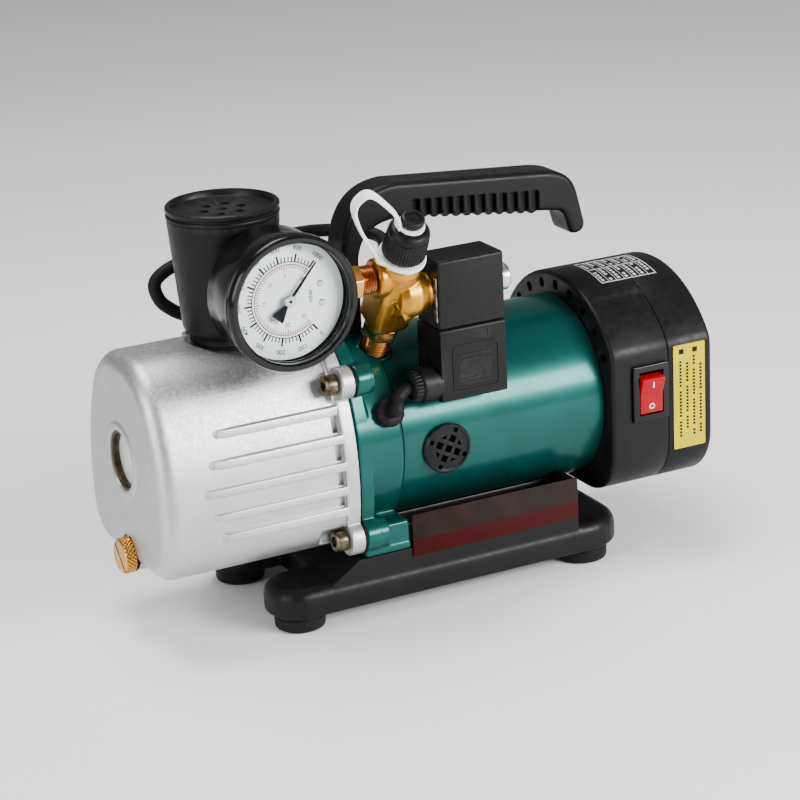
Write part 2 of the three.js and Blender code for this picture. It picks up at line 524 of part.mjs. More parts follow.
// ---------------------------------------------------------------- carry handle
function carryHandle() {
  const { half } = HANDLE;
  const foot = { x0: -41, top: 137 };
  const side = new THREE.Shape();
  side.moveTo(foot.x0, 124);
  side.lineTo(foot.x0, foot.top);
  side.lineTo(-34, foot.top + 4);
  side.lineTo(-33, 172);
  side.bezierCurveTo(-32, 189, -22, 200.5, -4, 201);
  side.lineTo(77, 194);
  side.bezierCurveTo(90, 192.6, 95, 188, 97, 178);
  side.lineTo(100.4, 163.7);
  side.lineTo(97.6, 159.6);
  side.lineTo(92.6, 159.6);
  side.bezierCurveTo(90, 162, 89.5, 168, 87.5, 171.3);
  side.lineTo(80, 173.4);
  side.lineTo(10, 182.4);
  side.bezierCurveTo(-10, 185, -23, 182, -24.5, 166);
  side.lineTo(-24.5, 124);
  const bar = alongY(side, -half + 2, half - 2, {
    bevelEnabled: true, bevelThickness: 2, bevelSize: 2, bevelOffset: -2, bevelSegments: 2, curveSegments: 8,
  });
  const seat = union(box(-60, 0, -half - 5, half + 5, 100, 131 + GAP),
    box(-60, CASING.front + 7 + GAP, -half - 5, half + 5, 100, CASE.top + 2.5 + GAP));
  const slots = range(12).flatMap((i) => {
    const x = 6.3 + i * 5.96;
    const low = 182.4 - 0.129 * (x - 10);
    const top = 191.2 - 0.091 * (x - 6.3);
    return [-1, 1].map((s) => box(x - 2, x + 2, s * half - 2, s * half + 2, low - 4, top));
  });
  add('carry_handle', bar.subtract(seat).subtract(union(...slots)), PLASTIC);
}

// ---------------------------------------------------------------- inlet manifold, cap and strap
const THREAD = { r: 6.4, step: 3 };

function threaded(r, h0, h1) {
  const count = Math.floor((h1 - h0) / THREAD.step);
  const crests = range(count).flatMap((i) => [[r - 0.7, h0 + i * THREAD.step],
    [r, h0 + (i + 0.5) * THREAD.step]]);
  return [...crests, [r - 0.7, h0 + count * THREAD.step]];
}

function manifold() {
  const place = inletFrame();
  const tilted = (geometry) => solid(geometry.applyMatrix4(place.matrix));
  const leg = tilted(turned([[0, -38], [8, -38], [9.6, -35], [10, -8], [10, 7], [8.5, 10.8], [6, 10.8],
    ...threaded(THREAD.r, 11, 20), [0, 20]], 16).rotateX(Math.PI / 2));
  const hex = tilted(new THREE.CylinderGeometry(9.6, 9.6, 7, 6).rotateX(Math.PI / 2).translate(0, 0, -37));
  const thread = tilted(turned([[0, -51], ...threaded(THREAD.r, -51, -39), [0, -39]], 16).rotateX(Math.PI / 2));
  const gaugeArm = barX(8, -36, MANIFOLD.x, MANIFOLD.y, MANIFOLD.z, 20);
  const valveArm = turnedX([[0, -26], [11, -26], [11, -14], [8, -10], [8, COIL.x0 - GAP], [0, COIL.x0 - GAP]],
    MANIFOLD.y, COIL.axisZ, 24);
  const tubeArm = barX(5, -12, COIL.x1 + 6.4, MANIFOLD.y, COIL.axisZ, 20);
  const barb = barY(2.2, -40, -27, HOSE_START.x, HOSE_START.z, 12);
  const passages = union(
    barX(3.6, -25, COIL.x1 + 1, MANIFOLD.y, COIL.axisZ, 12),
    barX(3.6, -60, -20, MANIFOLD.y, MANIFOLD.z, 12),
    tilted(new THREE.CylinderGeometry(2.5, 2.5, 100, 12).rotateX(Math.PI / 2).translate(0, 0, -20)),
  );
  add('inlet_manifold', union(leg, hex, thread, gaugeArm, valveArm, tubeArm, barb).subtract(passages), BRASS);
  flareCap(place);
}

function flareCap(place) {
  const onAxis = (pairs, sides) => turned(pairs, sides).rotateX(Math.PI / 2);
  const cap = onAxis([
    [0, 22], [0, 37.5], [5, 37.5], [5.8, 36.5], [5.8, 34], [4, 33.4], [4, 31.2], [8, 31], [10.2, 28.8],
    [10.4, 14.5], [THREAD.r + 0.4, 14.5], [THREAD.r + 0.4, 22], [0, 22],
  ], 28);
  const group = new THREE.Group();
  group.position.copy(place.position);
  group.rotation.copy(place.rotation);
  pump.add(group);
  add('flare_cap', cap, PLASTIC, group);
  add('flare_seal', onAxis(ring(5.6, 2.8, 20.3, 21.7), 20), RUBBER, group);
}

// Strap loop from the ring under the cap up to the ring round the cap's knob, in the inlet frame.
function capStrap() {
  const band = 0.9;              // half the strap's thickness
  const neck = solid(turned(ring(11.2, 7, 11.4, 13.2), 24).rotateX(Math.PI / 2));
  const top = solid(turned(ring(7.4, 4.4, 31.6, 33), 24).rotateX(Math.PI / 2));
  const route = [[-9.5, 0, 12.3], [-13, 0, 13.2], [-17, 0, 20], [-26, 0, 34], [-32.5, 0, 48],
    [-31.5, 0, 55.5], [-25.5, 0, 57], [-11.5, 0, 43], [-8, 0, 37], [-7, 0, 32.3]];
  const centre = new THREE.CatmullRomCurve3(route.map((p) => new THREE.Vector3(...p)));
  const points = centre.getSpacedPoints(20);
  const outer = [];
  const inner = [];
  points.forEach((p, i) => {
    const t = centre.getTangentAt(i / 20);
    outer.push([p.x - t.z * band, p.z + t.x * band]);
    inner.push([p.x + t.z * band, p.z - t.x * band]);
  });
  const loop = alongY(polygon([...outer, ...inner.reverse()]), -2.8, 2.8);
  const group = new THREE.Group();
  const place = inletFrame();
  group.position.copy(place.position);
  group.rotation.copy(place.rotation);
  pump.add(group);
  add('cap_strap', union(neck, top, loop), WHITE, group);
}

// ---------------------------------------------------------------- solenoid valve
function solenoid() {
  const { x0, x1, y0, y1, z0, z1, axisZ } = COIL;
  const bore = barX(5.3, x0 - 1, x1 + 1, MANIFOLD.y, axisZ, 20);
  const block = alongX(roundedRect(y0, y1, z0 + GAP, z1, 2.5), x0, x1, { curveSegments: 4 });
  add('solenoid_coil', block.subtract(bore), PLASTIC);
  add('coil_nut', turnedX(ring(6.4, 5.3, x1 + GAP, x1 + 6), MANIFOLD.y, axisZ, 12), STEEL);
  add('valve_plunger', barX(3.2, -10, 8, MANIFOLD.y, axisZ, 16), STEEL);

  const housing = union(
    alongX(roundedRect(y0, PLUG.y1, PLUG.z0, z0, 2), x0, x1, { curveSegments: 4 }),
    alongX(roundedRect(y0 + 3, PLUG.deep, PLUG.step, z0, 2), x0, x1, { curveSegments: 4 }),
  );
  const gland = turnedX([[0, x0 - 13], [7.5, x0 - 13], [8.7, x0 - 11], [8.7, x0 + 2], [0, x0 + 2]],
    GLAND.y, GLAND.z, 24);
  const leadRoom = barX(3.4, x0 - 14, x0 - 8, GLAND.y, GLAND.z, 16);
  add('coil_connector', union(housing, gland).subtract(leadRoom), PLASTIC);
  const onGrommet = (d) => [GROMMET.x, -d * Math.sin(GROMMET.angle), SHAFT_Z + d * Math.cos(GROMMET.angle)];
  const lead = [[x0 - 9, GLAND.y, GLAND.z], [x0 - 15, GLAND.y - 0.5, GLAND.z - 0.5],
    [x0 - 20.5, GLAND.y - 2, GLAND.z - 3.5], onGrommet(60), onGrommet(55 + GAP)];
  add('coil_lead', tube(lead, 3, 12, 8), RUBBER);
  const nut = solid(turned([[0, 45], [0, 55], [5, 55], [7, 53], [7, 49.6], [5, 49.6], [5, 45], [0, 45]], 20)
    .rotateX(Math.PI / 2).rotateX(GROMMET.angle).translate(GROMMET.x, 0, SHAFT_Z));
  add('lead_grommet', nut, PLASTIC);
}

const GLAND = { y: -49, z: 113 };

// ---------------------------------------------------------------- vacuum gauge
function gauge() {
  const { x, front, back, r, dial } = GAUGE;
  const z = MANIFOLD.z;
  const y = MANIFOLD.y;
  const onY = (pairs, sides = 26) => solid(turned(pairs, sides).translate(x, 0, z));
  const stemRoom = barX(6.4, x + 24, x + 40, y, z, 20);
  const caseBody = onY([
    [0, back], [r - 3, back], [r - 1.4, back - 1.5], [r - 1.4, front + 8], [r - 3.2, front + 8],
    [r - 3.2, back - 2.5], [0, back - 2.5], [0, back],
  ]);
  add('gauge_case', caseBody.subtract(stemRoom), PLASTIC);
  const bezel = onY([
    [r, front + 7.7], [r, front + 1.5], [r - 1, front], [dial + 0.6, front], [dial, front + 1.2],
    [dial, front + 3.4], [r - 2.8, front + 4.6], [r - 1.8, front + 7.7], [r, front + 7.7],
  ]);
  add('gauge_bezel', bezel, PLASTIC);
  const lens = onY([[0, front + 3.7], [dial - 0.4, front + 3.7], [dial - 0.4, front + 5], [0, front + 5]]);
  add('gauge_lens', lens, GLASS);
  const pin = barY(1.6, front, back, x, z, 12);
  add('gauge_dial', onY([[0, front + 9], [dial, front + 9], [dial, front + 10], [0, front + 10]])
    .subtract(pin), WHITE);
  // The pointer swings about the dial's middle; at rest it points to the 1000 mark, upper right.
  const tip = 20.5;
  const needle = polygon([[-10, -2.4], [-9, -3], [-2, -0.9], [tip, -0.35], [tip, 0.35], [-2, 0.9], [-9, 3],
    [-10, 2.4]]);
  const hub = barY(2.6, front + 5.8, front + 8, 0, 0, 16);
  const axle = barY(1.2, front + 7, front + 19, 0, 0, 10);
  const pointer = union(alongY(needle, front + 6.4, front + 7.2), hub, axle);
  const mesh = add('gauge_pointer', pointer, PLASTIC);
  mesh.position.set(x, 0, z);
  mesh.rotation.y = -POINTER_REST;

  // The stem, its hexagon and the block that carries the movement are one piece.
  const movement = box(x - 12, x + 12, front + 11, front + 24, z - 9, z + 9);
  const stem = union(movement, barX(5, x + 8, x + r, y, z, 16), barX(9, x + r - 1, -45.5, y, z, 6),
    barX(6.2, -46, -36.4, y, z, 20)).subtract(barX(2, -70, -30, y, z, 10)).subtract(pin);
  add('gauge_stem', stem, COPPER);
}

const POINTER_REST = THREE.MathUtils.degToRad(49);

// ---------------------------------------------------------------- hose
// Formed rubber hose from the manifold's back, behind the handle and the filter, to the oil case.
const HOSE_START = { x: -12, z: 160 };
const HOSE_END = { x: -97, y: 29, z: 134.3 };

function hose() {
  const route = [[HOSE_START.x, -26.5, HOSE_START.z], [-10, -12, 161.5], [-3, 6, 164.5], [1, 20, 167],
    [-6, 31, 169], [-20, 35, 170.5], [-34, 35.5, 171.5], [-60, 35, 171], [-88, 34.5, 169],
    [-103, 34, 166.5], [-112.5, 33.5, 160.5], [-111.5, 32, 152], [-105.5, 30.5, 146],
    [-98.5, 29.3, 142], [HOSE_END.x, HOSE_END.y, 138.5], [HOSE_END.x, HOSE_END.y, HOSE_END.z]];
  add('vacuum_hose', tube(route, 3.2, 44, 8), RUBBER);
}

basePlate();
feet();
oilCase();
sightGlass();
drainPlug();
caseBolts();
exhaustFilter();
vanePump();
pumpCasing();
motor();
sideVent();
rearCover();
carryHandle();
manifold();
capStrap();
solenoid();
gauge();
hose();

// The origin is on the floor, under the middle of the whole pump's box.
pump.updateMatrixWorld(true);
const outer = new THREE.Box3().setFromObject(pump, true);
pump.position.set(-(outer.min.x + outer.max.x) / 2, -(outer.min.y + outer.max.y) / 2, 0);

export default pump;
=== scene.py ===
import json
from math import cos, pi, radians, sin, tau
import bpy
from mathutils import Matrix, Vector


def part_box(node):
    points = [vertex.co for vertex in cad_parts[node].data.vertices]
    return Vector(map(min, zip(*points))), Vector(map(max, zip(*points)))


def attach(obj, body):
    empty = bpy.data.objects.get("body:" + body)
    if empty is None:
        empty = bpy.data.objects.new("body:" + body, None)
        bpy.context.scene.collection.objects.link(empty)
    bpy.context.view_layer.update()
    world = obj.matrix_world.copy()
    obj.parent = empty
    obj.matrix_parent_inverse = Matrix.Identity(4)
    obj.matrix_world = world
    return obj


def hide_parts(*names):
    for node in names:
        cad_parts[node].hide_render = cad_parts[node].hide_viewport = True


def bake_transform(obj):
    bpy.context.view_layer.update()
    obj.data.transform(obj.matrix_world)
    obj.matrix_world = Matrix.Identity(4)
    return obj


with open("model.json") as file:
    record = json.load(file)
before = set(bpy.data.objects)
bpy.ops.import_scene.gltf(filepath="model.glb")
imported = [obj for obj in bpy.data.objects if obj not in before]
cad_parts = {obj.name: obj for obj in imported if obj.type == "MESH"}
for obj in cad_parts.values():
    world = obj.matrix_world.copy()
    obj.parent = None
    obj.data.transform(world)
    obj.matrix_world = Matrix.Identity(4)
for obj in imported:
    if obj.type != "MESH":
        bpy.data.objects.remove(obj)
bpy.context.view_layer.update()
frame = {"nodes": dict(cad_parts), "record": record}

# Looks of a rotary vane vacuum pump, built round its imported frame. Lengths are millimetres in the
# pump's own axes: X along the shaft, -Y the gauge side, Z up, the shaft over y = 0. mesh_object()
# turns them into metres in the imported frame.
from types import SimpleNamespace as Sizes

import bmesh
import bpy
from mathutils import Matrix, Vector

MM = 0.001
MOTOR = Sizes(front=-24.2, back=86.8, r=46, wall=3)
shell_low, shell_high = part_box("motor_shell")
ORIGIN = Vector((shell_low.x - MOTOR.front * MM, (shell_low.y + shell_high.y) / 2, 0))
TO_FRAME = Matrix.Translation(ORIGIN) @ Matrix.Scale(MM, 4)

SHAFT_Z = 81
GAP = 0.3
FOOT = Sizes(x=78.4, y=35.2, height=8.7)
BASE = Sizes(front=-94, rear=98, half=50.6, bottom=9, top=23.5)
PEDESTAL = Sizes(x0=-21.5, x1=69, half=49.4, top=47.8)
TROUGH = Sizes(inner=24, outer=46.6, floor=33, end_wall=3)
CASE = Sizes(front=-149, flange=-57, back=-50, bottom=36.5, top=139, edge=8)
CASING = Sizes(front=-48.8, back=-24.6, r=48.5)
COVER = Sizes(front=87.4, seam=120, back=145.6, half=53, bottom=32.5, top=138.3, crown=61)
SIGHT = Sizes(z=88, r=14.5, rim=18.5)
DRAIN = Sizes(z=40.6, r=8.7, face=CASE.front + 2.2, boss=8.2)
FILTER = Sizes(x=-89.4, seat=136.5, base=143.5, top=203.5)
INLET_TILT = radians(32)
MANIFOLD = Vector((-23.4, -45.6, 168))
INLET_AXIS = Vector((0, -sin(INLET_TILT), cos(INLET_TILT)))
COIL = Sizes(x0=-7.9, x1=26.9, y0=-57.1, y1=-34.5, z0=140, z1=173.6, axis_z=157.5)
PLUG = Sizes(y1=-40.8, z0=104.6, step=116, deep=-33.5)
GAUGE = Sizes(x=-83, front=-62.5, back=-31, r=32, dial=28)
HANDLE = Sizes(half=10)
SWITCH = Sizes(x0=98.5, x1=119, z0=72, z1=101, rest=0.16)
VENTS = Sizes(count=9, step=radians(15.3), circle=51.2)
GRILLE = Sizes(x=-1.5, z=78, r=12.5, turn=radians(28), pitch=5.2)
GLAND = Sizes(y=-49, z=113)
GROMMET = Sizes(x=-31, angle=radians(66))
CASE_BOLTS = [(-43.5, 120), (-46, 43), (43.5, 120), (46, 43)]


# ---- meshes
def placed(name, data):
    """A new object in the scene."""
    made = bpy.data.objects.new(name, data)
    bpy.context.scene.collection.objects.link(made)
    return made


def mesh_object(name, points, faces):
    """A closed mesh from points in the pump's millimetres, with its faces turned outwards."""
    mesh = bpy.data.meshes.new(name)
    mesh.from_pydata([ORIGIN + Vector(p) * MM for p in points], [], faces)
    shape = bmesh.new()
    shape.from_mesh(mesh)
    bmesh.ops.recalc_face_normals(shape, faces=shape.faces)
    shape.to_mesh(mesh)
    shape.free()
    return placed(name, mesh)


def loft(rings):
    """A skin over closed rings that all have the same number of points, capped at both ends."""
    n = len(rings[0])
    points = [p for ring in rings for p in ring]
    faces = [list(range(n)), list(range(len(points) - n, len(points)))]
    for k in range(len(rings) - 1):
        for i in range(n):
            j = (i + 1) % n
            faces.append([k * n + i, k * n + j, (k + 1) * n + j, (k + 1) * n + i])
    return mesh_object("loft", points, faces)


def lathe(profile, centre=(0, 0, 0), axis=(0, 0, 1), sides=96, wave=None):
    """A turned solid: (radius, height) pairs about an axis, ending on the axis or closing on itself."""
    along = Vector(axis).normalized()
    side = along.orthogonal().normalized()
    other = along.cross(side)
    points, rings = [], []
    for radius, height in profile:
        middle = Vector(centre) + along * height
        start = len(points)
        if radius == 0:
            points.append(middle)
            rings.append([start])
            continue
        for i in range(sides):
            angle = tau * i / sides
            r = radius + (wave(angle, radius, height) if wave else 0)
            points.append(middle + side * (r * cos(angle)) + other * (r * sin(angle)))
        rings.append(list(range(start, start + sides)))
    pairs = list(zip(rings, rings[1:]))
    if profile[0][0] > 0:
        pairs.append((rings[-1], rings[0]))
    faces = []
    for a, b in pairs:
        for i in range(sides):
            j = i + 1
            corners = [a[i % len(a)], a[j % len(a)], b[j % len(b)], b[i % len(b)]]
            corners = list(dict.fromkeys(corners))
            if len(corners) > 2:
                faces.append(corners)
    return mesh_object("lathe", points, faces)


def on_shaft(profile, y=0, z=SHAFT_Z, start=0, **options):
    """A turned solid about a line along X; its heights are measured from start."""
    return lathe(profile, (start, y, z), (1, 0, 0), **options)


def on_y(profile, x, z, start=0, **options):
    """A turned solid about a line along Y; its heights are measured from start."""
    return lathe(profile, (x, start, z), (0, 1, 0), **options)


def rod(r, start, end, sides=48):
    start, end = Vector(start), Vector(end)
    length = (end - start).length
    return lathe([(0, 0), (r, 0), (r, length), (0, length)], start, end - start, sides)


def rod_x(r, x0, x1, y=0, z=SHAFT_Z, sides=48):
    return rod(r, (x0, y, z), (x1, y, z), sides)


def prism(outline, axis, start, end):
    """A flat outline stretched along an axis: x takes (y, z), y takes (x, z) and z takes (x, y)."""
    place = {"x": lambda a, b, h: (h, a, b), "y": lambda a, b, h: (a, h, b), "z": lambda a, b, h: (a, b, h)}
    return loft([[place[axis](a, b, h) for a, b in outline] for h in (start, end)])


def block(x0, x1, y0, y1, z0, z1):
    return prism([(x0, y0), (x1, y0), (x1, y1), (x0, y1)], "z", z0, z1)


def arc(x, y, r, start, end, steps=8):
    angles = [radians(start + (end - start) * i / steps) for i in range(steps + 1)]
    return [(x + r * cos(a), y + r * sin(a)) for a in angles]


def rounded_rect(x0, x1, y0, y1, r, steps=8):
    return (arc(x1 - r, y0 + r, r, -90, 0, steps) + arc(x1 - r, y1 - r, r, 0, 90, steps) + arc(x0 + r,
        y1 - r, r, 90, 180, steps) + arc(x0 + r, y0 + r, r, 180, 270, steps))


def bezier(points, steps=10):
    """Points of a quadratic or cubic Bezier curve, without its first point."""
    def at(t):
        level = [Vector(p) for p in points]
        while len(level) > 1:
            level = [a.lerp(b, t) for a, b in zip(level, level[1:])]
        return tuple(level[0])
    return [at(i / steps) for i in range(1, steps + 1)]


def curve(outline, *controls, steps):
    """The outline with a Bezier curve added to its last point."""
    return outline + bezier([outline[-1], *controls], steps)


def through(points, steps, closed=False):
    """Points spread along a smooth curve through the given ones."""
    p = [Vector(q) for q in points]
    n = len(p)
    spans = n if closed else n - 1
    result = []
    for k in range(steps if closed else steps + 1):
        t = k / steps * spans
        i = min(int(t), spans - 1)
        u = t - i
        if closed:
            a, b, c, d = p[(i - 1) % n], p[i % n], p[(i + 1) % n], p[(i + 2) % n]
        else:
            b, c = p[i], p[i + 1]
            a = p[i - 1] if i > 0 else 2 * b - c
            d = p[i + 2] if i + 2 < n else 2 * c - b
        result.append(0.5 * (2 * b + (c - a) * u + (2 * a - 5 * b + 4 * c - d) * u * u
            + (3 * b - a - 3 * c + d) * u ** 3))
    return result


def sweep(route, section):
    """A section carried along a route of points without twisting; section is (sideways, upwards) pairs."""
    ahead = (route[1] - route[0]).normalized()
    side = ahead.orthogonal().normalized()
    rings = []
    for i, point in enumerate(route):
        now = (route[min(i + 1, len(route) - 1)] - route[max(i - 1, 0)]).normalized()
        side = (ahead.rotation_difference(now) @ side).normalized()
        ahead = now
        up = ahead.cross(side)
        rings.append([point + side * a + up * b for a, b in section])
    return loft(rings)


def tube(points, r, steps, sides=20):
    return sweep(through(points, steps), arc(0, 0, r, 0, 360, sides)[:-1])


def moved(made, matrix):
    """The object's mesh moved by a matrix that is given in the pump's millimetres."""
    made.data.transform(TO_FRAME @ matrix @ TO_FRAME.inverted())
    return made


def turned_at(place, angle, axis):
    """A frame at a place, turned about one of the axes."""
    return Matrix.Translation(place) @ Matrix.Rotation(angle, 4, axis)


# ---- mesh work
def finished_mesh(made):
    graph = bpy.context.evaluated_depsgraph_get()
    return bpy.data.meshes.new_from_object(made.evaluated_get(graph))


def settle(made):
    """Makes the modifiers' result the object's mesh."""
    mesh = finished_mesh(made)
    made.modifiers.clear()
    made.data = mesh
    return made


def combine(made, others, operation):
    for other in others:
        change = made.modifiers.new(operation, "BOOLEAN")
        change.operation = operation
        change.solver = "MANIFOLD"
        change.object = other
    settle(made)
    for other in others:
        bpy.data.objects.remove(other)
    return made


def unite(made, *others):
    return combine(made, others, "UNION")


def cut(made, *others):
    return combine(made, others, "DIFFERENCE")


def soften(made, width, segments=3, angle=35):
    """Rounds the edges that turn by more than the angle."""
    change = made.modifiers.new("edges", "BEVEL")
    change.width = width * MM
    change.segments = segments
    change.limit_method = "ANGLE"
    change.angle_limit = radians(angle)
    return settle(made)


def cast(made, voxel=0.6, passes=5):
    """Gives a solid the even skin and small fillets of a casting or moulding."""
    skin = made.modifiers.new("skin", "REMESH")
    skin.mode = "VOXEL"
    skin.voxel_size = voxel * MM
    smooth = made.modifiers.new("smooth", "SMOOTH")
    smooth.factor = 0.5
    smooth.iterations = passes
    return settle(made)


def merged(parts):
    """Separate shells as one object."""
    shape = bmesh.new()
    for part in parts:
        shape.from_mesh(part.data)
    mesh = bpy.data.meshes.new("merged")
    shape.to_mesh(mesh)
    shape.free()
    for part in parts[1:]:
        bpy.data.objects.remove(part)
    parts[0].data = mesh
    return parts[0]


def piece(made, name, slot, *stands_for, body="frame", look=None, sharp=35):
    """Names a shape, gives it its look and body, and lets it stand for CAD nodes."""
    made.name = name
    made.data.name = name
    made.data.materials.clear()
    made.data.materials.append(look or LOOKS[slot])
    made.data.shade_smooth()
    made.data.set_sharp_from_angle(angle=radians(sharp))
    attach(made, body)
    if stands_for:
        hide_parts(*stands_for)
    return made


# ---- materials
class Look:
    """A Principled material whose patterns are laid out in millimetres on the object."""

    def __init__(self, name):
        self.material = bpy.data.materials.new(name)
        self.material.use_nodes = True
        self.tree = self.material.node_tree
        self.shader = self.tree.nodes["Principled BSDF"]
        self.where = self.node("ShaderNodeTexCoord").outputs["Object"]

    def base(self, color, roughness, metallic=0.0, **constants):
        """Constants; a drifting roughness is given as a low value, a high value and the patches' size."""
        self.set("Base Color", (*color, 1))
        self.set("Metallic", metallic)
        if isinstance(roughness, tuple):
            self.rough(*roughness)
        else:
            self.set("Roughness", roughness)
        for socket, value in constants.items():
            self.set(socket.replace("_", " "), value)

    def node(self, kind, **settings):
        made = self.tree.nodes.new(kind)
        for key, value in settings.items():
            setattr(made, key, value)
        return made

    def set(self, socket, value):
        self.shader.inputs[socket].default_value = value

    def link(self, output, socket):
        self.tree.links.new(output, self.shader.inputs[socket] if isinstance(socket, str) else socket)

    def noise(self, size, detail=3, stretch=(1, 1, 1)):
        """Noise with features of a size in millimetres, longer along an axis where stretch is above 1."""
        place = self.node("ShaderNodeMapping")
        self.link(self.where, place.inputs["Vector"])
        place.inputs["Scale"].default_value = [1 / s for s in stretch]
        made = self.node("ShaderNodeTexNoise")
        self.link(place.outputs[0], made.inputs["Vector"])
        made.inputs["Scale"].default_value = 1 / (size * MM)
        made.inputs["Detail"].default_value = detail
        return made.outputs["Fac"]

    def between(self, value, low, high, to_low=0.0, to_high=1.0):
        made = self.node("ShaderNodeMapRange")
        self.link(value, made.inputs["Value"])
        for socket, number in zip(("From Min", "From Max", "To Min", "To Max"), (low, high, to_low, to_high)):
            made.inputs[socket].default_value = number
        return made.outputs["Result"]

    def paint(self, amount, color):
        """Mixes a colour over what the base colour is so far, by an amount from 0 to 1."""
        made = self.node("ShaderNodeMix", data_type="RGBA")
        self.link(amount, made.inputs["Factor"])
        base = self.shader.inputs["Base Color"]
        if base.is_linked:
            self.link(base.links[0].from_socket, made.inputs["A"])
        else:
            made.inputs["A"].default_value = base.default_value[:]
        made.inputs["B"].default_value = (*color, 1)
        self.link(made.outputs["Result"], "Base Color")

    def vary(self, color, size=14, amount=0.6):
        """Soft patches of a second colour."""
        self.paint(self.between(self.noise(size), 0.35, 0.7, 0, amount), color)

    def rough(self, low, high, size):
        self.link(self.between(self.noise(size, 4), 0.3, 0.7, low, high), "Roughness")

    def edge_wear_and_highlight(self, color, start=0.53, end=0.6, amount=0.7):
        """A second colour on convex edges, broken up by noise: rubbed wear on the metals, and a painted
        highlight along the black plastic's edges.
        """
        edge = self.between(self.node("ShaderNodeNewGeometry").outputs["Pointiness"], start, end, 0, amount)
        broken = self.node("ShaderNodeMath", operation="MULTIPLY")
        self.link(edge, broken.inputs[0])
        self.link(self.between(self.noise(2.5, 4), 0.35, 0.6), broken.inputs[1])
        self.paint(broken.outputs[0], color)

    def bump(self, height, depth):
        """Relief from a height of 0 to 1, with its depth in millimetres."""
        made = self.node("ShaderNodeBump")
        made.inputs["Distance"].default_value = depth * MM
        made.inputs["Strength"].default_value = 1
        self.link(height, made.inputs["Height"])
        normal = self.shader.inputs["Normal"]
        if normal.is_linked:
            self.link(normal.links[0].from_socket, made.inputs["Normal"])
        self.link(made.outputs["Normal"], "Normal")

    def grain(self, size, depth, detail=3):
        self.bump(self.noise(size, detail), depth)


def cast_aluminium(look):
    look.base((0.46, 0.465, 0.47), (0.36, 0.5, 2), metallic=0.92)
    look.vary((0.54, 0.54, 0.54), 18)
    look.edge_wear_and_highlight((0.85, 0.85, 0.85), amount=0.9)
    look.grain(0.5, 0.1)
    look.grain(1.6, 0.06)


def green_paint(look):
    look.base((0.0, 0.056, 0.046), (0.27, 0.33, 9), metallic=0.5, Coat_Weight=0.16, Coat_Roughness=0.14,
        Specular_IOR_Level=0.2)
    look.vary((0.0, 0.078, 0.066), 30)
    look.grain(9, 0.02, 0)


def black_plastic(look):
    look.base((0.0032, 0.0032, 0.0035), (0.34, 0.48, 4), Specular_IOR_Level=0.15)
    look.vary((0.006, 0.006, 0.0065), 20)
    # The lighter grey on the convex edges is a painted highlight, not wear.
    look.edge_wear_and_highlight((0.03, 0.03, 0.032), amount=0.5)
    look.grain(0.6, 0.03)


def gloss_black(look):
    look.base((0.002, 0.002, 0.0023), (0.12, 0.22, 6), Specular_IOR_Level=0.22)
    look.vary((0.006, 0.006, 0.007), 25)
    look.grain(4, 0.006)


def rubber(look):
    look.base((0.004, 0.004, 0.0045), (0.5, 0.7, 3), Specular_IOR_Level=0.16)
    look.vary((0.008, 0.008, 0.008), 9, 0.5)
    look.grain(0.5, 0.03)


def steel(look):
    look.base((0.55, 0.56, 0.57), (0.2, 0.38, 2), metallic=1.0)
    look.vary((0.45, 0.46, 0.47), 10)
    look.bump(look.noise(0.25, 2, (1, 12, 12)), 0.006)


def dark_steel(look):
    look.base((0.035, 0.025, 0.017), 0.36, metallic=0.9)
    look.vary((0.12, 0.085, 0.05), 4)
    look.edge_wear_and_highlight((0.40, 0.33, 0.25), amount=0.9)
    look.grain(0.4, 0.02)


def brass(look):
    look.base((0.44, 0.205, 0.018), (0.28, 0.42, 1.5), metallic=1.0)
    look.vary((0.62, 0.33, 0.06), 9)
    look.edge_wear_and_highlight((1.0, 0.76, 0.36), amount=0.9)
    look.grain(0.5, 0.035)
    look.grain(2.2, 0.05)


def polished_brass(look):
    look.base((0.60, 0.29, 0.045), 0.27, metallic=1.0)
    look.vary((0.48, 0.21, 0.03), 5)
    look.edge_wear_and_highlight((1.0, 0.78, 0.42), amount=0.8)
    look.grain(0.5, 0.012)


def copper_brass(look):
    look.base((0.46, 0.16, 0.035), 0.25, metallic=1.0)
    look.vary((0.50, 0.19, 0.05), 4)
    look.edge_wear_and_highlight((1.0, 0.66, 0.38), amount=0.9)
    look.grain(0.4, 0.012)


def clear_glass(look):
    """Sees through to what is behind and adds a surface gloss; the gauge lens."""
    look.base((0.05, 0.06, 0.065), (0.02, 0.06, 8), Alpha=0.05, IOR=1.5)
    look.vary((0.03, 0.04, 0.045), 30)
    facing = look.node("ShaderNodeLayerWeight")
    facing.inputs["Blend"].default_value = 0.3
    look.link(look.between(facing.outputs["Fresnel"], 0, 1, 0.02, 0.35), "Alpha")


def pale_glass(look):
    """The sight glass: a pale, nearly opaque window with a soft gloss; its pale colour is painted light,
    standing in for the light that shows through the window.
    """
    look.base((0.82, 0.86, 0.87), (0.04, 0.10, 8), Alpha=0.8, IOR=1.5)
    look.vary((0.74, 0.79, 0.81), 30)


def dial_white(look):
    look.base((0.93, 0.98, 0.99), (0.35, 0.5, 5))
    look.vary((0.88, 0.95, 0.98), 24)
    look.grain(0.8, 0.004)


def white_plastic(look):
    look.base((0.78, 0.79, 0.80), (0.32, 0.46, 2), Subsurface_Weight=0.5, Subsurface_Radius=(1.0, 1.0, 1.0),
        Subsurface_Scale=0.002)
    look.vary((0.7, 0.71, 0.73), 7)
    look.grain(0.8, 0.02)


def red_plastic(look):
    look.base((0.25, 0.0, 0.004), (0.18, 0.3, 3), Specular_IOR_Level=0.15)
    look.vary((0.33, 0.0, 0.006), 8)
    look.grain(1.5, 0.01)


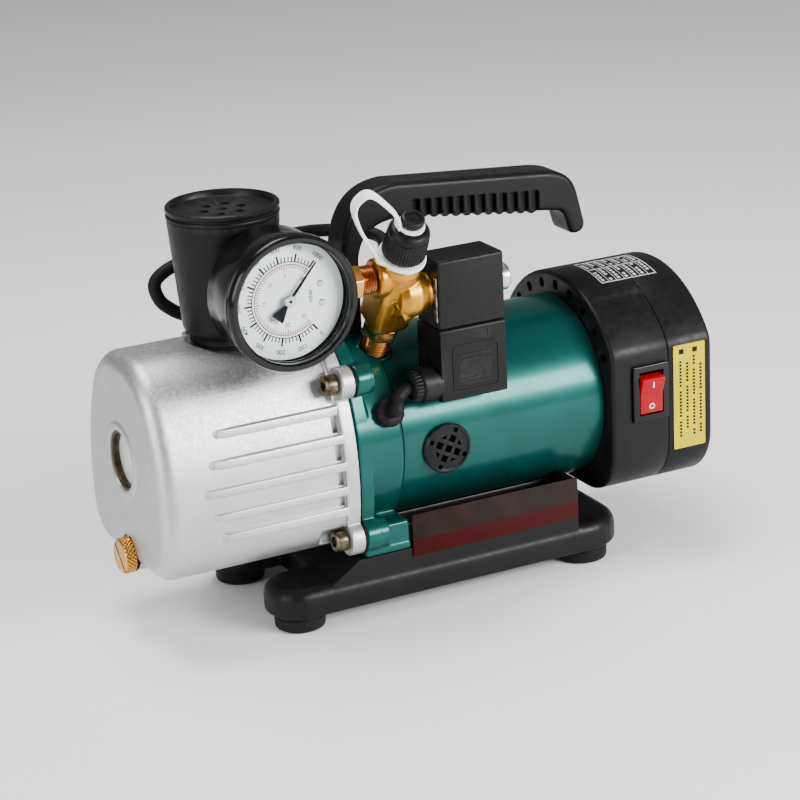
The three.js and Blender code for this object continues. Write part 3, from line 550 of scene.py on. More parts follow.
def yellow_film(look):
    look.base((0.49, 0.38, 0.0), (0.3, 0.42, 4), Specular_IOR_Level=0.0)
    look.vary((0.61, 0.49, 0.0), 15)
    look.grain(1, 0.006)


def carbon(look):
    look.base((0.022, 0.022, 0.024), 0.45)
    look.vary((0.05, 0.05, 0.05), 3)
    look.bump(look.noise(0.3, 2, (14, 1, 14)), 0.02)


def core_iron(look):
    look.base((0.2, 0.12, 0.07), 0.5, metallic=0.6)
    look.vary((0.32, 0.15, 0.05), 6)
    look.bump(look.noise(0.5, 1, (1, 40, 40)), 0.1)


def felt(look):
    look.base((0.6, 0.58, 0.52), 0.95, Sheen_Weight=0.3)
    look.vary((0.5, 0.47, 0.4), 4)
    look.bump(look.noise(0.25, 4, (4, 1, 1)), 0.2)


def dark_label(look):
    """Dark brushed plate whose lower band is red."""
    look.base((0.010, 0.005, 0.004), 0.32, Specular_IOR_Level=0.1)
    look.vary((0.02, 0.011, 0.009), 10)
    height = look.node("ShaderNodeSeparateXYZ")
    look.link(look.where, height.inputs[0])
    look.paint(look.between(height.outputs["Z"], 0.0372, 0.0362), (0.03, 0.0, 0.001))
    look.bump(look.noise(0.3, 3, (30, 1, 1)), 0.02)


def ink(name, color):
    """Print on a dial or a label."""
    look = Look(name)
    look.base(color, 0.5, Specular_IOR_Level=0.1)
    look.vary([min(1, c * 1.3 + 0.002) for c in color], 3)
    look.grain(0.5, 0.003)
    return look.material


def named_look(finish):
    """The material that a finish makes, under the finish's own name."""
    look = Look(finish.__name__)
    finish(look)
    return look.material


FINISHES = (cast_aluminium, green_paint, black_plastic, gloss_black, rubber, steel, dark_steel, brass,
    polished_brass, copper_brass, clear_glass, dial_white, white_plastic, red_plastic, yellow_film,
    dark_label, carbon, core_iron, felt)
LOOKS = {finish.__name__: named_look(finish) for finish in FINISHES}
BLACK_INK = ink("black_ink", (0.003, 0.003, 0.004))
RED_INK = ink("red_ink", (0.30, 0.02, 0.045))
SILVER_INK = ink("silver_ink", (0.42, 0.42, 0.42))
WHITE_INK = ink("white_ink", (0.8, 0.8, 0.8))
PALE_GLASS = named_look(pale_glass)


def finish_cad_nodes():
    """Every CAD node takes the finish of its slot; most visible ones are replaced further down."""
    slots = {part["node"]: part["material_slot"] for part in frame["record"]["subparts"]}
    for name, node in frame["nodes"].items():
        node.data.materials.clear()
        node.data.materials.append(LOOKS[slots[name]])


# ---- base and feet
def rounding(r):
    """A quarter circle as pairs of a step along and a distance inwards, or the other way round."""
    turns = [radians(90 * i / 8) for i in range(9)]
    return [(r * (1 - cos(t)), r * (1 - sin(t))) for t in turns]


def pad(x0, x1, y0, y1, corner, shoulder=6.5):
    """A slab with upright sides, round corners and a rounded shoulder."""
    stations = [(0, BASE.bottom - 6)] + [(a, BASE.top - b) for a, b in rounding(shoulder)]
    return loft([[(x, y, z) for x, y in rounded_rect(x0 + i, x1 - i, y0 + i, y1 - i, corner - i)]
        for i, z in stations])


def base():
    lowest = BASE.bottom
    pads = [(-64, BASE.rear, -BASE.half, BASE.half, 22), (BASE.front, 0, -BASE.half, -17, 15),
        (BASE.front, 0, 17, BASE.half, 15)]
    slab = unite(*[pad(*edges) for edges in pads])
    cut(slab, block(-120, 120, -60, 60, 0, lowest))
    soften(slab, 0.8, 2)
    x0, x1, half = PEDESTAL.x0, PEDESTAL.x1, PEDESTAL.half
    low = BASE.top - 4
    pedestal = block(x0, x1, -half, half, low, PEDESTAL.top)
    rear = x1 - TROUGH.end_wall
    troughs = [block(x0 - 1, rear, side * TROUGH.inner, side * TROUGH.outer, TROUGH.floor, PEDESTAL.top + 1)
        for side in (-1, 1)]
    ramp = [(x0 + 1, low), (x0 + 1, 32.5), (-52, 32.5), (-66, BASE.top - 0.5), (-66, low)]
    seat = prism(ramp, "y", -half, half)
    unite(slab, cut(pedestal, *troughs), seat)
    cut(slab, rod_x(MOTOR.r + GAP, x0 - 5, x1 + 5, sides=128), rod_x(CASING.r + GAP, -60, x0, sides=128))
    piece(cast(slab, 0.7, 6), "base_moulding", "black_plastic", "base_plate")

    foot = [(0, 0), (9.5, 0), (10, 0.6), (11.2, 0.6), (12, 1.2), (12.3, 2.4), (12.4, 6.4), (12, 6.8),
        (12, 7.6), (12.4, 8), (12.4, FOOT.height), (0, FOOT.height)]
    for end, x in (("front", -FOOT.x), ("rear", FOOT.x)):
        for side, y in (("near", -FOOT.y), ("far", FOOT.y)):
            made = lathe(foot, (x, y, 0))
            piece(made, f"rubber_foot_{end}_{side}", "rubber", f"foot_{end}_{side}")

    near = -half - GAP
    plate = soften(block(CASING.back + 1, x1 - 1, near - 0.7, near, 28, 49.2), 0.25, 2)
    piece(plate, "side_plate", "dark_label", "side_label")


# ---- oil case
CASE_HALF = [(0, CASE.top), (17, 137), (32, 126), (41.5, 108), (47, 88), (48.3, 65), (45, 47), (35, 38),
    (18, CASE.bottom), (0, CASE.bottom)]
CASE_RIBS = [(107, 62), (94, 66), (81, 70), (69, 66), (58.5, 62)]


def case_outline(inset, steps=150):
    """The case's cross-section as (y, z), moved inwards by a distance."""
    middle = Vector((0, (CASE.top + CASE.bottom) / 2))
    half = [Vector(p) for p in CASE_HALF]
    whole = half + [Vector((-p.x, p.y)) for p in reversed(half[1:-1])]
    inward = [middle + (p - middle) * (1 - inset / (p - middle).length) for p in whole]
    return [tuple(p) for p in through(inward, steps, closed=True)]


def wall_at(z):
    """How far the case's wall is from the middle at a height."""
    right = [p for p in case_outline(0) if p[0] > 20]
    return min(right, key=lambda p: abs(p[1] - z))[0]


def case_shell(inset, front, back, edge):
    """The case's section along X with a rounded front edge."""
    stations = [(front + a, inset + b) for a, b in rounding(edge)] + [(back, inset)]
    return loft([[(x, y, z) for y, z in case_outline(i)] for x, i in stations])


def case_flange(x0, x1, proud):
    lobes = [rod_x(8, x0, x1, y, z) for y, z in CASE_BOLTS]
    return unite(prism(case_outline(-proud), "x", x0, x1), *lobes)


def rib(side, z, length):
    """A crisp bar that stands proud of the wall and sinks into it at its front end."""
    wall = wall_at(z)
    back = CASE.flange + 1
    rings = []
    for x, half, proud in ((back, 2.2, 2.5), (back - length + 8, 2.0, 2.4), (back - length, 1.7, 1.9),
                           (back - length - 2.6, 1.1, -0.6)):
        lean = 0.3 if z > 90 else 0
        rings.append([(x, side * (wall - 4), z - half), (x, side * (wall + proud + lean), z - half),
            (x, side * (wall + proud - lean), z + half), (x, side * (wall - 4), z + half)])
    return soften(loft(rings), 0.55, 3, 25)


def oil_case():
    front, flange, back = CASE.front, CASE.flange, CASE.back
    shell = case_shell(0, front, flange + 2, CASE.edge)
    rim = on_shaft([(0, -0.8), (SIGHT.rim - 0.6, -0.8), (SIGHT.rim, -0.2), (SIGHT.rim, 9), (0, 9)],
        z=SIGHT.z, start=front)
    drain_boss = rod_x(DRAIN.boss, DRAIN.face, front + 14, 0, DRAIN.z)
    hose_boss = rod(5.5, (-97, 29, 112), (-97, 29, 134))
    unite(shell, case_flange(flange, back, 2.5), rim, drain_boss, hose_boss)
    hollow = case_shell(5, front + 6, back + 5, 6)
    cut(hollow, rod(21, (FILTER.x, 0, 124), (FILTER.x, 0, 145)))
    slots = []
    heights = [z for z, _ in CASE_RIBS]
    for upper, lower in zip(heights, heights[1:]):
        for side in (-1, 1):
            wall = wall_at((upper + lower) / 2)
            slots.append(block(flange - 3.6, flange - 0.4, side * (wall - 2.2), side * (wall + 6),
                lower + 2.6, upper - 2.6))
    drills = [rod_x(SIGHT.r, front - 3, front + 7, 0, SIGHT.z, 96),
        rod_x(11.5, front + 5, front + 12, 0, SIGHT.z, 96), rod_x(5, front - 3, front + 17, 0, DRAIN.z),
        rod_x(DRAIN.r + 1, front - 3, DRAIN.face, 0, DRAIN.z, 64),
        rod(12.3, (FILTER.x, 0, 120), (FILTER.x, 0, 142), 64), rod(21.5, (FILTER.x, 0, FILTER.seat),
        (FILTER.x, 0, 142), 96)]
    for y, z in CASE_BOLTS:
        drills.append(rod_x(3.3, flange - 5, back + 5, y, z))
        drills.append(rod_x(6.4, flange - 12, flange, y, z))
    cut(shell, hollow, *drills)
    piece(cut(cast(shell, 0.6, 4), *slots), "oil_case_casting", "cast_aluminium", "oil_case")
    ribs = [rib(side, z, length) for z, length in CASE_RIBS for side in (-1, 1)]
    piece(merged(ribs), "oil_case_ribs", "cast_aluminium")


def sight_glass():
    front, r = CASE.front, SIGHT.r - GAP
    window = rod_x(r, front + 4.2, front + 6.7, 0, SIGHT.z, 96)
    piece(soften(window, 0.3, 2), "sight_window", "clear_glass", "sight_glass", look=PALE_GLASS)
    # A white disc right behind the glass: painted light, so that the shaded window still reads pale.
    piece(rod_x(11.4, front + 7, front + 7.6, 0, SIGHT.z, 96), "sight_back_disc", "dial_white")
    ring = on_shaft([(r - 1, 0.9), (r - 1.3, 3.9), (r, 3.9), (r, 0.6)], z=SIGHT.z, start=front)
    # Dark steel for the ring, chosen dark so that it also paints the shade that falls in the bore round the
    # glass.
    piece(soften(ring, 0.2, 2), "sight_retaining_ring", "dark_steel", "sight_glass_ring")


def drain_plug():
    """Heights on the head are measured from its slotted end."""
    r, end, seat = DRAIN.r, DRAIN.face - 7.2, 5.6

    def knurl(angle, radius, height):
        """Two crossing sets of grooves on the head's rim."""
        if radius < r - 0.1 or not 0.5 < height < seat - 0.1:
            return 0
        sets = [abs(sin(13 * angle + turn * height * 1.5)) for turn in (-1, 1)]
        return -0.75 * (1 - min(sets)) ** 2
    rim = [(r, 0.8 + 0.2 * i) for i in range(24)]
    head = on_shaft([(0, 0), (r - 0.9, 0), (r - 0.2, 0.5), *rim, (r - 0.3, seat), (4.2, seat), (4.2, 19.2),
        (0, 19.2)], z=DRAIN.z, start=end, sides=280, wave=knurl)
    slot = moved(block(end - 3, end + 1.8, -0.7, 0.7, -11, 11),
        turned_at((0, 0, DRAIN.z), radians(-42), "X"))
    piece(cut(head, slot), "drain_plug_knurled", "polished_brass", "drain_plug", body="drain", sharp=50)
    ring = [(7.4 + 1.1 * cos(a), 0.5 * sin(a)) for a in [tau * i / 16 for i in range(16)]]
    seal = on_shaft(ring, z=DRAIN.z, start=DRAIN.face - 0.8)
    piece(seal, "drain_o_ring", "rubber", "drain_seal", body="drain_lift")


def case_bolts():
    for i, (y, z) in enumerate(CASE_BOLTS):
        head = CASE.flange - 6.3
        tip = CASING.front + 6 - head
        bolt = on_shaft([(0, 0), (4.3, 0), (4.9, 0.5), (5, 1), (5, 5.6), (4.6, 6), (3, 6), (3, tip),
            (0, tip)], y, z, head)
        socket = rod_x(2.9, head - 1, head + 3, y, z, 6)
        piece(cut(bolt, socket), f"socket_bolt_{i + 1}", "dark_steel", f"case_bolt_{i + 1}")


# ---- exhaust filter
def exhaust_filter():
    x, seat, low, top = FILTER.x, FILTER.seat, FILTER.base, FILTER.top
    cup = lathe([(8, seat - 12), (11.8, seat - 12), (11.8, seat + 1.9), (19, seat + 1.9), (19.5, seat + 2.4),
        (19.5, low - 2.5), (19.9, low - 1.4), (20.6, low - 0.6), (21.6, low + 0.4), (22.3, low + 2),
        (22.5, low + 4), (26.1, top - 12), (26.4, top - 9), (26.4, top - 6.2), (24.4, top - 6.2),
        (24.4, top - 9), (20.5, low + 5), (17.5, low + 2), (8, low + 2)], (x, 0, 0), sides=128)
    piece(cup, "filter_cup_moulding", "black_plastic", "filter_cup", body="filter")
    lid = lathe([(0, -3.2), (22.6, -3.2), (23.4, -2.8), (24, -0.6), (24.6, -0.05), (25.2, 0), (26.2, -0.2),
        (26.8, -0.8), (26.9, -2), (26.6, -2.6), (26.1, -3), (26.1, -3.7), (26.6, -4.1), (26.8, -4.7),
        (26.6, -5.8), (24, -5.8), (24, -11), (22.4, -11), (22.4, -5), (0, -5)], (x, 0, top), sides=128)
    around = [(9.5 * cos(i * pi / 3), 9.5 * sin(i * pi / 3)) for i in range(6)]
    holes = [rod(2.4, (x + a, b, top - 9), (x + a, b, top + 1), 32) for a, b in [(0, 0), *around]]
    piece(cut(lid, *holes), "filter_lid", "black_plastic", "filter_cap", body="filter")


# ---- pump casing and motor
def inlet_rod(r, low, high, sides=64):
    """A bar on the inlet's axis, between two distances from the crossing."""
    return rod(r, MANIFOLD + INLET_AXIS * low, MANIFOLD + INLET_AXIS * high, sides)


def pump_casing():
    front, back, r = CASING.front, CASING.back, CASING.r
    body = on_shaft([(0, front), (r, front), (r, back - 1.2), (r - 1.2, back), (0, back)], sides=160)
    lobes = [rod_x(7.6, front, front + (12 if z < 60 else 9), y, z) for y, z in CASE_BOLTS]
    ledge = soften(block(front, back, -50.4, 50.4, 32.8, 37), 1.2, 3)
    foot = soften(block(front + 11, back, -49.8, 49.8, 34, 47.5), 1.6, 3)
    boss = unite(inlet_rod(8.7, -74, -50), inlet_rod(9.6, -74, -56))
    half = HANDLE.half
    cut(boss, block(-46, back + 9, -half - GAP, half + GAP, 131, 150))
    pad = block(-46, -25, -half, half, 118, 131)
    unite(body, case_flange(front, front + 7, 0.5), *lobes, ledge, foot, boss, pad)
    grommet = grommet_frame()
    room = [moved(rod(5.3, (0, 0, 42), (0, 0, 58)), grommet), rod_x(MOTOR.r + GAP, back + 0.1, 20,
        sides=128), rod_x(40, -41, 20, sides=96), inlet_rod(7.3, -60, -30)]
    cut(body, *room)
    piece(cast(body, 0.55, 6), "pump_casing_casting", "green_paint", "pump_casing")


def motor_shell():
    front, back, r, wall = MOTOR.front, MOTOR.back, MOTOR.r, MOTOR.wall
    shell = on_shaft([(r - 0.6, front), (r, front + 0.6), (r, back), (r - wall, back), (r - wall, front)],
        sides=200)
    opening = rod(11.9, (GRILLE.x, -60, GRILLE.z), (GRILLE.x, -30, GRILLE.z), 64)
    piece(cut(shell, opening), "motor_shell_painted", "green_paint", "motor_shell")


def side_vent():
    """Round black grille with a diamond grid of holes."""
    x, z, r = GRILLE.x, GRILLE.z, GRILLE.r
    disc = on_y([(0, -43.4), (11.4, -43.4), (11.4, -46.3), (r, -46.3), (r, -47.4), (r - 0.7, -48.3),
        (r - 1.4, -48.4), (r - 2.2, -47.9), (r - 5, -48.3), (0, -48.6)], x, z)
    turn = turned_at((x, 0, z), GRILLE.turn, "Y")

    def square(a, b, half, corner=0.25):
        return moved(prism(rounded_rect(a - half, a + half, b - half, b + half, corner, 2), "y", -60, -40),
            turn)
    steps = (-GRILLE.pitch, 0, GRILLE.pitch)
    window = merged([square(a, b, 1.65) for a in steps for b in steps])
    combine(window, [rod(7, (x, -58, z), (x, -42, z), 64)], "INTERSECT")
    single = [square(a, b, 1.2, 0.8) for a, b in ((9.7, 0), (-9.7, 0), (0, 9.7), (0, -9.7))]
    piece(cut(disc, window, *single), "side_vent_grille", "black_plastic", "side_vent")


# ---- rear cover and switch
def cover_outline(inset, steps=20):
    half, bottom, lower = COVER.half - inset, COVER.bottom + inset, 27 - inset
    crown = COVER.crown - inset
    centre, start = COVER.top - COVER.crown, 34
    meet = (crown * cos(radians(start)), centre + crown * sin(radians(start)))
    side = bezier([(half, meet[1] - 9), (half, meet[1] - 3), meet], 6)
    right = arc(half - lower, bottom + lower, lower, -90, 0, steps) + [(half, meet[1] - 9)] + side
    top = arc(0, centre, crown, start, 180 - start, steps * 2)[1:-1]
    left = [(-y, z) for y, z in reversed(right)]
    return right + top + left


def stadium(length, width, steps=8):
    """A slot's outline about the origin, long in its second direction."""
    r, half = width / 2, (length - width) / 2
    return arc(0, half, r, 0, 180, steps) + arc(0, -half, r, 180, 360, steps)


def cover_shell(x0, x1, edge, beyond):
    """A stretch of the cover with rounded ends, cut square at the seam by taking away what is beyond it."""
    shell = soften(prism(cover_outline(0), "x", x0, x1), edge, 4, 50)
    return soften(cut(shell, block(*beyond, -90, 90, 0, 200)), 0.45, 2, 60)


def rear_cover():
    front, seam, back = COVER.front, COVER.seam, COVER.back
    shell = cover_shell(front, seam + 9, 2.2, (seam - GAP, seam + 20))
    vents = []
    for i in range(VENTS.count):
        angle = (i - (VENTS.count - 1) / 2) * VENTS.step
        slot = prism(stadium(5.6, 4.6), "x", front - 4, front + 8)
        place = turned_at((0, 0, SHAFT_Z), angle, "X") @ Matrix.Translation((0, 0, VENTS.circle))
        vents.append(moved(slot, place))
    x0, x1, z0, z1 = SWITCH.x0, SWITCH.x1, SWITCH.z0, SWITCH.z1
    room = [prism(cover_outline(2.6), "x", front + 2.6, seam + 1),
        rod_x(43.4, front - 1, front + 9, sides=160), block(x0 + 2, x1 - 2, -60, -40, z0 + 2, z1 - 2)]
    piece(cut(shell, *room, *vents), "rear_cover_front_shell", "black_plastic", "rear_cover_front")

    shell = cover_shell(seam - 9, back, 2.6, (seam - 20, seam))
    louvres = []
    for side in (-1, 1):
        for i in range(6):
            slot = rounded_rect(side * 22 - 14, side * 22 + 14, 58 + i * 8, 61.5 + i * 8, 1.7, 4)
            louvres.append(prism(slot, "x", back - 9, back + 3))
    cut(shell, prism(cover_outline(2.6), "x", seam - 1, back - 2.6), *louvres)
    piece(shell, "rear_cover_back_shell", "black_plastic", "rear_cover_back")


def power_switch():
    x0, x1, z0, z1 = SWITCH.x0, SWITCH.x1, SWITCH.z0, SWITCH.z1
    near = -COVER.half
    bezel = soften(block(x0, x1, near - 2, near - GAP, z0, z1), 0.7, 3)
    unite(bezel, block(x0 + 2.3, x1 - 2.3, near - 1, -38, z0 + 2.3, z1 - 2.3))
    well = block(x0 + 3.3, x1 - 3.3, near - 6, -42, z0 + 3.3, z1 - 3.3)
    piece(cut(bezel, well), "switch_bezel", "gloss_black", "switch_body")

    width, tall = x1 - x0 - 7.4, (z1 - z0) / 2 - 5.2
    side = [(-8.5, -tall), (-7.2, 0), (-8.5, tall), (-2, tall), (3, 3), (3, -3), (-2, -tall)]
    pivot = turned_at(((x0 + x1) / 2, near + 5, (z0 + z1) / 2), SWITCH.rest, "X")
    key = soften(prism(side, "x", -width / 2, width / 2), 0.5, 3, 12)
    piece(moved(key, pivot), "rocker_key", "red_plastic", "switch_rocker", body="rocker")
    on = block(-0.3, 0.3, -8.35, -7.9, 4.6, 7.6)
    off = on_y([(1.5, -8.3), (1.5, -7.8), (1.1, -7.8), (1.1, -8.3)], 0, -5.6, sides=32)
    marks = merged([on, off])
    piece(moved(marks, pivot), "rocker_marks", "white_plastic", body="rocker", look=WHITE_INK)


def cover_labels():
    """Generic print: rows of bars on the yellow label, and a silver grid on the cover's top."""
    near = -COVER.half
    x0, x1, z0, z1 = COVER.seam + 2.4, COVER.back - 4.9, 53.4, 107.3
    film = prism(rounded_rect(x0, x1, z0, z1, 0.6, 3), "y", near - 0.6, near - GAP)
    piece(film, "yellow_label_film", "yellow_film", "yellow_label")
    bars = []
    for column, (rows, start) in enumerate(((24, 3), (20, 9), (24, 3), (22, 9))):
        x = x0 + 3.4 + column * 3.9
        if column in (0, 2):
            bars.append(block(x - 0.2, x + 2.6, near - 0.68, near - 0.5, z1 - 4.8, z1 - 2.2))
        for i in range(rows):
            z = z1 - 5 - start / 2 - i * 1.75
            if z > z0 + 2 and (i * 7 + column * 3) % 9:
                bars.append(block(x, x + 1.3, near - 0.68, near - 0.5, z - 1.15, z))
    piece(merged(bars), "yellow_label_print", "gloss_black", look=BLACK_INK)

    crown, centre = COVER.crown, COVER.top - COVER.crown

    def strip(x0, x1, a0, a1, high):
        """A thin plate on the arched top, between two X values and two angles from the vertical."""
        steps = max(1, int(abs(a1 - a0) / 2))
        top = arc(0, centre, crown + high, 90 + a0, 90 + a1, steps)
        under = arc(0, centre, crown + 0.02, 90 + a1, 90 + a0, steps)
        return prism(top + under, "x", x0, x1)
    left, right, first, last = 102.5, 134.5, -7, 19
    lines = [strip(left, left + 0.5, first, last, 0.16), strip(right - 0.5, right, first, last, 0.16)]
    lines += [strip(left, right, a, a + 0.45, 0.16) for a in (first, 5, last - 0.45)]
    columns = 7
    pitch = (right - left) / columns
    for i in range(columns):
        x = left + i * pitch
        lines.append(strip(x, x + 0.3, first, last, 0.14))
        for start, count in ((6.3, 5), (-5.7, 4)):
            for k in range(count):
                if (i * 5 + k * 3) % 7:
                    a = start + k * 2.4
                    lines.append(strip(x + 1.4, x + 2.9, a, a + 1.5, 0.12))
    piece(merged(lines), "rating_grid", "steel", look=SILVER_INK)


# ---- carry handle
def carry_handle():
    half = HANDLE.half
    outline = [(-41, 124), (-41, 137), (-34.5, 141), (-33.5, 168)]
    outline = curve(outline, (-32, 188), (-24, 200.4), (-4, 201), steps=14) + [(77, 194)]
    outline = curve(outline, (90, 192.6), (95, 188), (97, 178), steps=10) + [(100.2, 165)]
    outline = curve(outline, (100.8, 159.6), (95, 158.6), (92.4, 160.2), steps=8)
    outline = curve(outline, (90, 163), (90.5, 170.5), (86, 172.4), steps=10) + [(80, 173.4), (10, 182.4)]
    outline = curve(outline, (-10, 185), (-23, 182), (-24.5, 166), steps=12) + [(-24.5, 124)]
    bar = soften(prism(outline, "y", -half, half), 4.2, 5, 40)
    slots, waves = [], []
    for i in range(12):
        x = 6.3 + i * 5.96
        low, top = 182.4 - 0.129 * (x - 10), 191.2 - 0.091 * (x - 6.3)
        for side in (-1, 1):
            slots.append(block(x - 2.1, x + 2.1, side * (half - 3.2), side * (half + 3), low - 6, top))
        waves.append(rod(2.7, (x, -half + 3.4, low + 1.2), (x, half - 3.4, low + 1.2), 24))
    seat = [block(-60, 0, -30, 30, 100, 131 + GAP), block(-60, -41.5, -30, 30, 100, 141.8)]
    unite(bar, *waves)
    cut(bar, *seat, *slots)
    piece(cast(bar, 0.5, 3), "carry_handle_moulding", "black_plastic", "carry_handle")


# ---- inlet, cap and strap
def thread_profile(r, start, end, depth=0.9, pitch=1.7):
    """Crests and roots of a thread along a turned profile."""
    count = int((end - start) / pitch)
    points = []
    for i in range(count):
        at = start + i * pitch
        points += [(r - depth, at), (r - 0.1, at + 0.4 * pitch), (r, at + 0.5 * pitch),
            (r - 0.1, at + 0.6 * pitch)]
    return points + [(r - depth, start + count * pitch)]


def inlet_frame():
    return turned_at(MANIFOLD, INLET_TILT, "X")


def inlet_manifold():
    place = inlet_frame()
    flats = radians(2)
    leg = loft([[(x, y, h) for x, y in rounded_rect(-w, w, -w, w, 2.6, 5)]
        for w, h in ((8.6, -31.5), (9.3, -29.4), (9.5, -10), (8.8, -2))])
    leg = moved(leg, place @ Matrix.Rotation(flats, 4, "Z"))
    neck = moved(lathe([(0, -12), (9.6, -12), (10.6, -6), (10.6, 6.5), (9.6, 9.4), (6, 10.8), (0, 10.8)]),
        place)
    gauge_arm = rod_x(8.6, -36, MANIFOLD.x, MANIFOLD.y, MANIFOLD.z)
    saddle = on_shaft([(0, -35.6), (8.9, -35.6), (9.4, -35), (9.4, -31), (8.6, -29), (0, -26)], MANIFOLD.y,
        MANIFOLD.z)
    valve_arm = on_shaft([(0, -26), (9.6, -26), (11.2, -22), (11.2, -16), (8.6, -10.5), (8.6, COIL.x0 - GAP),
        (0, COIL.x0 - GAP)], MANIFOLD.y, COIL.axis_z)
    web = rod(7.4, (-25, MANIFOLD.y, 150), (-10, MANIFOLD.y, COIL.axis_z))
    tail = rod_x(5, -12, COIL.x1 + 6.4, MANIFOLD.y, COIL.axis_z)
    barb = rod(2.2, (-12, -40, 160), (-12, -27, 160))
    body = unite(leg, neck, gauge_arm, saddle, valve_arm, web, tail, barb)
    passages = [rod_x(3.6, -60, -20, MANIFOLD.y, MANIFOLD.z), inlet_rod(2.5, -60, 40)]
    piece(cast(cut(body, *passages), 0.45, 3), "inlet_forging", "brass", "inlet_manifold")

    nut = moved(lathe([(0, -40), (7.8, -40), (9.1, -39), (9.1, -32), (8, -31), (0, -31)], sides=6), place)
    bore = inlet_rod(2.6, -60, 0)
    piece(soften(cut(nut, bore), 0.35, 2, 25), "inlet_hexagon", "polished_brass")
    lower = lathe([(0, -51.5), (5.8, -51.5), *thread_profile(7, -51, -39.6, 0.8, 1.8), (0, -39.6)])
    piece(moved(lower, place), "inlet_lower_thread", "copper_brass", sharp=60)
    upper = lathe([(0, 10.9), (5.7, 10.9), *thread_profile(6.4, 11, 20), (0, 20)])
    piece(moved(upper, place), "inlet_upper_thread", "copper_brass", sharp=60)


def flare_cap():
    def knurl(angle, radius, height):
        """Fine upright ribs on the lower skirt."""
        if radius < 9.85 or not 14.8 < height < 26:
            return 0
        return 0.2 * sin(44 * angle)
    cap = lathe([(0, 37.2), (1, 37.1), (1.3, 36.6), (3.4, 36.6), (3.8, 37.4), (5, 37.4), (5.6, 36.8),
        (5.6, 34.6), (5, 33.9), (4.1, 33.6), (4.1, 31.1), (7, 31), (8.4, 30.6), (9.5, 29.4), (9.9, 27.8),
        (9.8, 26.6), (9.4, 26.1), (9.9, 25.6), (10.2, 20), (10.3, 15.2), (9.9, 14.6), (6.8, 14.6), (6.8, 22),
        (0, 22)], sides=288, wave=knurl)
    piece(moved(cap, inlet_frame()), "cap_moulding", "black_plastic", "flare_cap", body="cap", sharp=50)


def cap_strap():
    """Translucent strap: a ring under the cap, a loop to the side and a ring round the knob."""
    steps = 90
    lower = lathe([(11.4, 11.3), (11.4, 13.3), (7, 13.3), (7, 11.3)])
    upper = lathe([(6.5, 31.5), (6.5, 33), (4.4, 33), (4.4, 31.5)])
    route = through([(-9.5, 0, 12.3), (-13, 0, 13.2), (-17, 0, 20), (-26, 0, 34), (-32.5, 0, 48),
        (-31.5, 0, 55.5), (-25.5, 0, 57), (-11.5, 0, 43), (-8, 0, 37), (-6.8, 0, 32.2)], steps)
    band = []
    for i, point in enumerate(route):
        ahead = (route[min(i + 1, steps)] - route[max(i - 1, 0)]).normalized()
        out = Vector((-ahead.z, 0, ahead.x))
        wide = 2.5 + 2.2 * max(0, 1 - i / 14)
        band.append([point + out * a + Vector((0, b, 0)) for a, b in ((-0.8, -wide), (0.8, -wide),
            (0.8, wide), (-0.8, wide))])
    strap = cast(unite(lower, upper, loft(band)), 0.35, 4)
    moved(strap, inlet_frame())
    strap.name = "cap_strap_loop"
    strap.data.materials.append(LOOKS["white_plastic"])
    strap.data.shade_smooth()
    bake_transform(strap)
    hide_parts("cap_strap")


# ---- solenoid valve
def grommet_frame():
    return turned_at((GROMMET.x, 0, SHAFT_Z), GROMMET.angle, "X")


